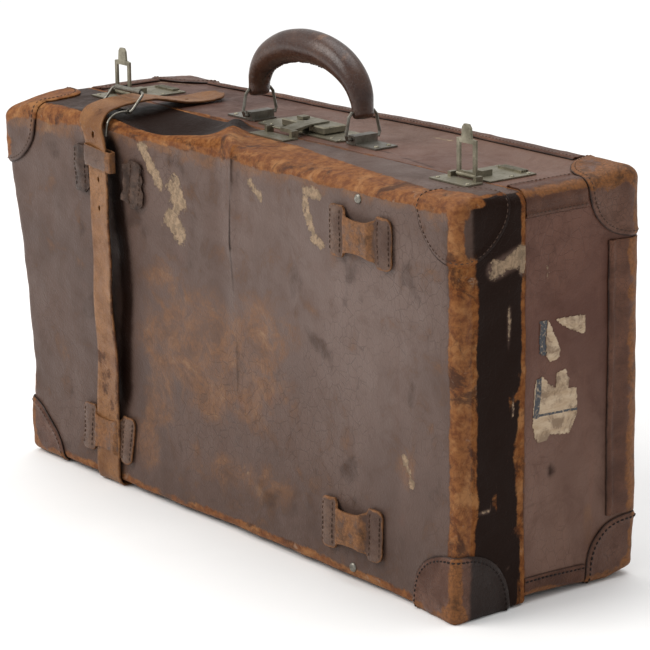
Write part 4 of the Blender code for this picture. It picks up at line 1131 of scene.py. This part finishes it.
def ribbon(path, width, thickness, shift=None, roll=None, outward=-1):
    """A strap along a path. shift and roll give its sideways move and twist at each share of its length."""
    section = []
    half, thick = width / 2, thickness / 2
    for u in np.linspace(-1, 1, 13):
        section.append((u * (half - 0.0006), thick * (1.0 - 0.22 * u**8)))
    rim = [(half, thick * 0.3), (half, -thick * 0.3)]
    back = [(u, -t) for u, t in section[::-1]]
    front = [(-half, -thick * 0.3), (-half, thick * 0.3)]
    outline = section + rim + back + front
    count = len(outline)
    points, faces, places = [], [], []
    for i, centre in enumerate(path):
        share = i / (len(path) - 1)
        along = (path[min(i + 1, len(path) - 1)] - path[max(i - 1, 0)]).normalized()
        across = Vector((1, 0, 0))
        normal = across.cross(along).normalized() * -outward
        turn = roll(share) if roll else 0.0
        side = across * math.cos(turn) + normal * math.sin(turn)
        face = normal * math.cos(turn) - across * math.sin(turn)
        middle = centre + Vector((shift(share) if shift else 0.0, 0, 0))
        for a, b in outline:
            curl = 0.0010 * (abs(a) / half) ** 3
            spot = middle + side * a + face * (b + curl)
            points.append((spot.x, spot.y, max(spot.z, 0.0003)))
            places.append(share)
    for i in range(len(path) - 1):
        for k in range(count):
            n = (k + 1) % count
            faces.append((i * count + k, i * count + n, (i + 1) * count + n, (i + 1) * count + k))
    faces.append(tuple(range(count))[::-1])
    faces.append(tuple((len(path) - 1) * count + k for k in range(count)))
    return points, faces, np.array(places)


def cut_holes(obj, holes):
    """Cuts round or long holes right through a strap, each given as (centre, direction, radius, length)."""
    for n, (centre, direction, radius, length) in enumerate(holes):
        gathered = Gathered()
        direction = Vector(direction).normalized()
        side = Vector((1, 0, 0))
        other = direction.cross(side).normalized()
        rings = []
        for end in (-0.008, 0.008):
            ring = []
            for k in range(14):
                a = k * math.tau / 14
                ring.append(Vector(centre) + direction * end + side * radius * math.cos(a)
                            + other * length * math.sin(a))
            rings.append(ring)
        gathered.loft(rings)
        cutter = new_object(f"hole_{n}", gathered.points, gathered.faces, smooth=False)
        step = obj.modifiers.new("hole", "BOOLEAN")
        step.operation = "DIFFERENCE"
        step.solver = "EXACT"
        step.object = cutter
        bpy.context.view_layer.update()
        mesh = bpy.data.meshes.new_from_object(obj.evaluated_get(bpy.context.evaluated_depsgraph_get()))
        obj.modifiers.clear()
        obj.data = mesh
        bpy.data.objects.remove(cutter)


def strap_sway(z):
    """How far right of its buckle the strap hangs at a height. Nothing at the buckle and the lower loop."""
    return STRAP_SWAY * ease(0.369, 0.338, z) * (0.40 + 0.60 * ease(0.170, 0.225, z)) * ease(0.080, 0.135, z)


def make_strap():
    roller_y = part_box("buckle_roller")[0].y / 2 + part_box("buckle_roller")[1].y / 2
    under = BOTTOM_Z - 0.0016
    route = [
        (LID_RIM - 0.005, under), (-0.060, under), (-0.0945, under + 0.0003), (-0.1038, 0.0050),
        (-0.1066, 0.018), (-0.1060, 0.050), (-0.1062, 0.085), (-0.1085, 0.130), (-0.1125, 0.180),
        (-0.1165, 0.225), (-0.1175, 0.265), (-0.1170, 0.300), (-0.1172, 0.325), (-0.1185, 0.342),
        (-0.1165, 0.3565), (-0.1070, 0.3665), (-0.0930, 0.3706), (-0.0800, 0.3722), (roller_y, 0.3728),
    ]
    path = catmull([(STRAP_X + float(strap_sway(z)), y, z) for y, z in route], 6)

    def shift(s):
        return 0.0035 * math.sin(math.pi * s * 1.7 - 0.5) * min(1.0, 4 * s) * min(1.0, 3 * (1 - s))

    def roll(s):
        return 0.16 * math.sin(math.pi * min(1.0, max(0.0, (s - 0.30) / 0.50)))

    points, faces, _ = ribbon(path, STRAP_WIDTH, STRAP_LEATHER, shift, roll)
    strap = new_object("strap_front_leather", points, faces)

    def hole(index, radius, length, offset=0.0):
        along = (path[index + 1] - path[index - 1]).normalized()
        s = index / (len(path) - 1)
        centre = path[index] + Vector((shift(s) + offset, 0, 0))
        return centre, Vector((1, 0, 0)).cross(along), radius, length

    heights = (0.277, 0.304)
    indices = [min(range(len(path)), key=lambda i: abs(path[i].z - h) - path[i].y) for h in heights]
    cut_holes(strap, [hole(i, 0.0021, 0.0026) for i in indices] + [hole(80, 0.0022, 0.0034)])
    paint_strap(strap)
    finish_piece(strap, STRAP_HIDE, "lid", ["strap_front"])

    tail = catmull([(STRAP_X, y, z) for y, z in (
        (roller_y + 0.0006, 0.3728), (-0.060, 0.3731), (-0.048, 0.3722), (-0.030, 0.3684), (-0.014, 0.3650),
        (0.004, 0.3638), (0.020, 0.3642), (0.036, 0.3662))], 6)
    points, faces, share = ribbon(tail, STRAP_WIDTH, STRAP_LEATHER)
    points = [Vector(p) for p in points]
    for i, p in enumerate(points):
        # The end is cut to a blunt point
        if share[i] > 0.86:
            keep = 1 - 0.62 * ((share[i] - 0.86) / 0.14) ** 2
            p.x = STRAP_X + (p.x - STRAP_X) * keep
    tongue = new_object("strap_tongue_leather", points, faces)
    cut_holes(tongue, [(Vector((STRAP_X, -0.040, 0.3706)), (0, 0.2, 1), 0.0021, 0.0024),
                       (Vector((STRAP_X, -0.004, 0.3642)), (0, 0.1, 1), 0.0021, 0.0024)])
    paint_strap(tongue)
    finish_piece(tongue, STRAP_HIDE, "base", ["strap_tongue_end"])

    back = catmull([(STRAP_X, y, z) for y, z in (
        (BASE_RIM + 0.005, under), (0.020, under), (0.070, under), (0.094, under + 0.0002), (0.1012, 0.0075),
        (0.1018, 0.020), (0.1020, 0.050), (0.1020, 0.100), (0.1022, 0.170), (0.1020, 0.250), (0.1020, 0.300),
        (0.1022, 0.338))], 6)
    points, faces, _ = ribbon(back, STRAP_WIDTH, STRAP_LEATHER, outward=-1)
    rear = new_object("strap_back_leather", points, faces)
    paint_strap(rear)
    finish_piece(rear, STRAP_HIDE, "base", ["strap_back"])


def paint_strap(obj):
    """Burnished edges and scattered dark marks."""
    co = np.array([v.co for v in obj.data.vertices])
    sway = strap_sway(co[:, 2]) if co[:, 1].max() < 0 else 0.0
    side = np.abs(co[:, 0] - STRAP_X - sway) / (STRAP_WIDTH / 2)
    wear = 0.55 * ease(0.86, 1.0, side)
    wobble = rough(co, 0.030, 61)
    wear = np.maximum(wear, 0.45 + 0.6 * wobble - 0.35)
    dark = 0.35 * ease(0.93, 1.0, side) + 0.22 * ease(0.2, 0.7, wobble)
    paint(obj, wear=wear, dark=dark)


def make_keeper():
    """A sewn band round the strap that slides along it."""
    low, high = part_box("strap_keeper")
    middle_y = KEEPER_Y
    middle_x = STRAP_X + 0.003 + float(strap_sway(KEEPER_MIDDLE_Z))
    half_x, half_y = STRAP_WIDTH / 2 + 0.0010, STRAP_LEATHER / 2 + 0.0010
    leather = 0.0017
    count = 40
    points, faces, share = [], [], []
    rows = 9
    for r in range(rows):
        v = -1 + 2 * r / (rows - 1)
        z = (low.z + high.z) / 2 + KEEPER_LIFT + v * (high.z - low.z) / 2 * 1.32
        for k in range(count):
            a = k * math.tau / count
            c, s = math.cos(a), math.sin(a)
            bow = (abs(c) ** 0.28) * np.sign(c), (abs(s) ** 0.28) * np.sign(s)
            x = (half_x + leather) * bow[0]
            y = (half_y + leather) * bow[1] - 0.0008 * (1 - v * v) * (1 if s < 0 else 0)
            lean = 0.0016 * x / half_x
            points.append((middle_x + x, middle_y + y, z - lean))
            share.append(abs(v))
    for r in range(rows - 1):
        for k in range(count):
            n = (k + 1) % count
            faces.append((r * count + k, r * count + n, (r + 1) * count + n, (r + 1) * count + k))
    inside = Vector((middle_x, middle_y, low.z))
    keeper = sheet("keeper_band", points, faces, leather, inside=inside, bevel=0.0004)
    share = np.array(share)
    right_edge = ease(middle_x + 0.007, middle_x + 0.017, np.array(points)[:, 0])
    wear = np.maximum(0.7 * ease(0.7, 1.0, share), 0.6 * right_edge)
    paint(keeper, wear=wear, dark=0.2 * share)
    finish_piece(keeper, LOOP_HIDE, "keeper", ["strap_keeper"])


# ---------------------------------------------------------------- the handle


def make_grip():
    """A stuffed leather grip: fat in the middle, wrapped flat round the rings at its ends."""
    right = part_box("handle_ring_right")
    ring_x = (right[0].x + right[1].x) / 2
    bar_z = right[1].z - 0.0015
    rise = 0.050
    count, sides = 61, 28
    rings, marks = [], []
    centres = []
    for i in range(count):
        t = -1 + 2 * i / (count - 1)
        arch = max(0.0, math.cos(t * math.pi / 2)) ** 0.88
        centres.append(Vector((ring_x * math.sin(t * math.pi / 2), 0.0, bar_z + rise * arch)))
    drop = [Vector((-ring_x - 0.0006, 0, bar_z - d)) for d in (0.0062, 0.0045, 0.002)]
    drop_right = [Vector((ring_x + 0.0006, 0, bar_z - d)) for d in (0.002, 0.0045, 0.0062)]
    centres = drop + centres + drop_right
    total = len(centres)
    gathered = Gathered()
    for i, centre in enumerate(centres):
        t = -1 + 2 * i / (total - 1)
        along = (centres[min(i + 1, total - 1)] - centres[max(i - 1, 0)]).normalized()
        side = Vector((0, 1, 0))
        up = along.cross(side)
        swell = max(0.0, 1 - (abs(t) / 0.86) ** 2.4)
        thick = 0.0080 + 0.0068 * swell
        wide = 0.0112 + 0.0040 * swell
        end = max(0.0, (abs(t) - 0.95) / 0.05)
        thick, wide = thick * (1 - 0.45 * end), wide * (1 - 0.18 * end)
        band = 0.0006 * math.exp(-((abs(t) - 0.80) / 0.012) ** 2)
        band = band + 0.0005 * math.exp(-((abs(t) - 0.74) / 0.010) ** 2)
        ring = []
        for k in range(sides):
            a = k * math.tau / sides
            frayed = 1 + 0.9 * noise.noise(Vector((centre.x * 260, 0.5, 0.5)))
            keel = 0.0024 * frayed * math.exp(-(((a - 1.5 * math.pi) / 0.16) ** 2)) * swell
            bumpy = 1 + 0.030 * noise.noise(Vector((centre.x * 45, math.cos(a) * 1.3, math.sin(a) * 1.3)))
            ring.append(centre + side * (wide * bumpy + band) * math.cos(a)
                        + up * ((thick * bumpy + band) * math.sin(a) - keel))
            top_share = max(0.0, math.sin(a))
            marks.append((top_share * swell, max(0.0, -math.sin(a)), abs(t)))
        rings.append(ring)
    gathered.loft(rings)
    grip = new_object("grip_leather", gathered.points, gathered.faces)
    marks = np.array(marks)
    co = np.array([v.co for v in grip.data.vertices])
    wobble = rough(co, 0.018, 71)
    # The top of the grip is painted lighter, as wear and partly a painted highlight; its underside is
    # painted darker as painted shade
    wear = 0.55 * marks[:, 0] * (0.6 + wobble) + 0.75 * ease(0.90, 0.97, marks[:, 2]) * (0.5 + wobble)
    paint(grip, wear=wear, dark=0.45 * marks[:, 1] * (1 - marks[:, 0]))
    soft = grip.modifiers.new("smooth", "SUBSURF")
    soft.levels = soft.render_levels = 1
    finish_piece(grip, GRIP_HIDE, "handle", ["handle_grip"])
    threads = Gathered()
    inner = [i for i in range(total) if 0.12 < i / (total - 1) < 0.88]
    for offset in (-0.19, 0.19):
        line, outward = [], []
        for i in inner:
            a = 1.5 * math.pi + offset
            k = a / math.tau * sides
            low, high = rings[i][int(k) % sides], rings[i][(int(k) + 1) % sides]
            spot = low.lerp(high, k - int(k))
            line.append(spot)
            outward.append(spot - centres[i])
        sew(threads, line, outward, pitch=0.0040, length=0.0030, radius=0.00045)
    threads.piece("grip_stitches", DARK_THREAD, "handle")


# ---------------------------------------------------------------- metal


def make_metal():
    """The fastenings keep their CAD shapes, with softened edges and tarnish."""
    brass = {"lock_plate", "lock_case", "lock_slider", "lock_spring", "lock_hasp", "lock_hasp_plate"}
    for name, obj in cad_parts.items():
        kept = name.startswith(("buckle_", "catch_", "handle_ring", "handle_staple", "hinge_", "lock_"))
        if kept:
            obj.data.materials.clear()
            obj.data.materials.append(BRASS if name in brass or name.startswith("catch_") else STEEL)
            size = 0.00012 if name.startswith(("hinge_", "lock_spring", "lock_slider")) else 0.00035
            edge = obj.modifiers.new("edges", "BEVEL")
            edge.width = size
            edge.segments = 2
            edge.limit_method = "ANGLE"
            edge.angle_limit = math.radians(35)
    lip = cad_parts["base_rim_lip"]
    lip.data.materials.clear()
    lip.data.materials.append(RIM_HIDE)


def make_rivets():
    """Nail and rivet heads on the plates and on the front of the lid."""
    up = Vector((0, 0, 1))
    heads = {"lid": Gathered(), "base": Gathered()}
    for name in ("catch_plate_left", "catch_plate_right"):
        low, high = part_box(name)
        for x in (low.x + 0.0045, high.x - 0.0045):
            heads["lid"].dome((x, low.y + 0.006, TOP_Z + 0.0015), up, 0.0022, 0.0010)
    for name in ("catch_receiver_left", "catch_receiver_right"):
        low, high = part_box(name)
        for x in (low.x + 0.0045, high.x - 0.0045):
            for y in (low.y + 0.028, high.y - 0.005):
                heads["base"].dome((x, y, TOP_Z + 0.0015), up, 0.0022, 0.0010)
    low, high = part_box("lock_plate")
    for x in (low.x + 0.006, high.x - 0.006, high.x - 0.018, low.x + 0.018):
        for y in (low.y + 0.006, high.y - 0.006):
            heads["base"].dome((x, y, high.z - 0.0001), up, 0.0019, 0.0010)
    for name in ("handle_staple_left", "handle_staple_right"):
        low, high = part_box(name)
        out = low.x + 0.006 if name.endswith("left") else high.x - 0.006
        for y in (-0.007, 0.007):
            heads["base"].dome((out, y, TOP_Z + 0.0017), up, 0.0024, 0.0013)
    for node in ("front_rivet_upper", "front_rivet_lower"):
        low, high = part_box(node)
        spot = np.array([[(low.x + high.x) / 2, FRONT_Y, (low.z + high.z) / 2]])
        on = lid_warp(spot)[0]
        single = Gathered()
        single.dome(on, (0, -1, 0), 0.0044, 0.0020, 0.5)
        obj = new_object(node + "_head", single.points, single.faces)
        finish_piece(obj, STEEL, "lid", [node])
    for body, gathered in heads.items():
        gathered.piece(f"{body}_rivet_heads", BRASS, body, "brass")


# ---------------------------------------------------------------- paper labels on the right end


def label(name, outline, ink=(), gone=()):
    """A torn scrap of paper on the base's right end, given by its outline in (y, z)."""
    ys = [p[0] for p in outline]
    zs = [p[1] for p in outline]
    step = 0.0008
    points, quads, index = [], [], {}

    def inside(a, b):
        found = False
        for (y1, z1), (y2, z2) in zip(outline, outline[1:] + outline[:1]):
            if (z1 > b) != (z2 > b) and a < (y2 - y1) * (b - z1) / (z2 - z1) + y1:
                found = not found
        return found

    for i in range(int((max(ys) - min(ys)) / step)):
        for j in range(int((max(zs) - min(zs)) / step)):
            a, b = min(ys) + (i + 0.5) * step, min(zs) + (j + 0.5) * step
            torn = 0.0009 * noise.noise(Vector((a * 400, b * 400, 1.0)))
            if not inside(a + torn, b + torn):
                continue
            corners = []
            for da, db in ((0, 0), (1, 0), (1, 1), (0, 1)):
                key = (i + da, j + db)
                if key not in index:
                    index[key] = len(points)
                    points.append((SIDE_X, min(ys) + key[0] * step, min(zs) + key[1] * step))
                corners.append(index[key])
            quads.append(tuple(corners))
    rest = np.array(points)
    across = 0.0004 * rough(rest, 0.003, 81, 2)
    upward = 0.0004 * rough(rest, 0.003, 82, 2)
    jitter = np.c_[np.zeros(len(rest)), across, upward]
    obj = sheet(name, settle(rest + jitter, "base", 0.00045), quads, 0.0003)
    marks = {}
    for mark, strokes in (("ink", ink), ("gone", gone)):
        found = np.zeros(len(rest))
        for start, end, width in strokes:
            d = from_segment(rest[:, 1], rest[:, 2], start, end)
            found = np.maximum(found, np.clip(1.5 - d / width, 0, 1))
        marks[mark] = found
    paint(obj, **marks)
    finish_piece(obj, PAPER, "base")


def make_labels():
    label(
        "label_flag",
        [(0.009, 0.247), (0.044, 0.245), (0.043, 0.229), (0.040, 0.229), (0.024, 0.236), (0.017, 0.240)],
        ink=[((0.005, 0.249), (0.045, 0.247), 0.0012)],
    )
    label(
        "label_blade",
        [(0.001, 0.248), (0.005, 0.241), (0.008, 0.234), (0.012, 0.226), (0.015, 0.219), (0.013, 0.212),
         (0.004, 0.210), (-0.001, 0.216), (-0.001, 0.230)],
    )
    label(
        "label_border_upper",
        [(-0.009, 0.248), (0.0005, 0.247), (-0.0015, 0.232), (-0.0015, 0.217), (-0.009, 0.219),
         (-0.009, 0.230)],
        ink=[((-0.004, 0.250), (-0.006, 0.215), 0.007)],
        gone=[((-0.009, 0.244), (-0.010, 0.236), 0.0016)],
    )
    label(
        "label_lower",
        [(-0.012, 0.198), (-0.004, 0.198), (0.003, 0.190), (0.010, 0.186), (0.011, 0.199), (0.021, 0.201),
         (0.026, 0.191), (0.025, 0.183), (0.035, 0.182), (0.036, 0.160), (0.031, 0.150), (0.027, 0.143),
         (0.016, 0.143), (0.005, 0.146), (0.000, 0.141), (-0.010, 0.141), (-0.014, 0.147), (-0.017, 0.158),
         (-0.016, 0.170), (-0.014, 0.192)],
        ink=[((-0.009, 0.200), (-0.0125, 0.166), 0.0034), ((-0.016, 0.1655), (0.037, 0.1625), 0.0011)],
    )


# ---------------------------------------------------------------- stage


def make_stage():
    corners = [(-6, -6, 0), (6, -6, 0), (6, 6, 0), (-6, 6, 0)]
    floor = new_object("floor", corners, [(0, 1, 2, 3)], smooth=False)
    look = Look("pale_floor", Specular_IOR_Level=0.1)
    tone = look.mix(look.ramp(look.noise(3.0), 0.4, 0.6), (0.90, 0.90, 0.90), (0.92, 0.92, 0.92))
    floor.data.materials.append(look.done(tone, look.ramp(look.noise(5.0), 0.4, 0.6, 0.85, 0.95)))

    scene = bpy.context.scene
    scene.view_settings.view_transform = "Standard"
    world = bpy.data.worlds.new("studio")
    scene.world = world
    world.use_nodes = True
    tree = world.node_tree
    tree.nodes.clear()
    out = tree.nodes.new("ShaderNodeOutputWorld")
    share = tree.nodes.new("ShaderNodeMixShader")
    path = tree.nodes.new("ShaderNodeLightPath")
    soft = tree.nodes.new("ShaderNodeBackground")
    soft.inputs["Color"].default_value = (1.0, 0.995, 0.985, 1.0)
    soft.inputs["Strength"].default_value = 0.62
    seen = tree.nodes.new("ShaderNodeBackground")
    seen.inputs["Color"].default_value = (1.0, 1.0, 1.0, 1.0)
    tree.links.new(path.outputs["Is Camera Ray"], share.inputs[0])
    tree.links.new(soft.outputs[0], share.inputs[1])
    tree.links.new(seen.outputs[0], share.inputs[2])
    tree.links.new(share.outputs[0], out.inputs[0])

    def area(name, place, size, power, colour=(1, 1, 1)):
        data = bpy.data.lights.new(name, "AREA")
        data.shape = "SQUARE"
        data.size = size
        data.energy = power
        data.color = colour
        light = bpy.data.objects.new(name, data)
        light.location = place
        aim = Vector((0, 0, 0.18)) - Vector(place)
        light.rotation_euler = aim.to_track_quat("-Z", "Y").to_euler()
        scene.collection.objects.link(light)

    area("key", (-1.1, -2.2, 2.4), 2.0, 70, (1.0, 0.98, 0.95))
    data = bpy.data.lights.new("overhead", "SUN")
    data.energy = 1.45
    data.angle = math.radians(55)
    overhead = bpy.data.objects.new("overhead", data)
    overhead.rotation_euler = (math.radians(-14), math.radians(-8), 0)
    scene.collection.objects.link(overhead)

    camera = bpy.data.objects.new("camera", bpy.data.cameras.new("camera"))
    scene.collection.objects.link(camera)
    forward = Vector((-0.7665, 0.5903, -0.2529)).normalized()
    up = Vector((-0.1929, 0.1640, 0.9674))
    right = forward.cross(up).normalized()
    up = right.cross(forward)
    camera.matrix_world = Matrix((
        (right.x, up.x, -forward.x, 2.2048),
        (right.y, up.y, -forward.y, -1.6838),
        (right.z, up.z, -forward.z, 0.9031),
        (0, 0, 0, 1),
    ))
    camera.data.sensor_width = 36.0
    camera.data.lens = LENS
    camera.data.clip_start = 0.05
    scene.camera = camera


make_shells()
make_trim()
make_loops()
make_strap()
make_keeper()
make_grip()
make_metal()
make_rivets()
make_labels()
make_stage()
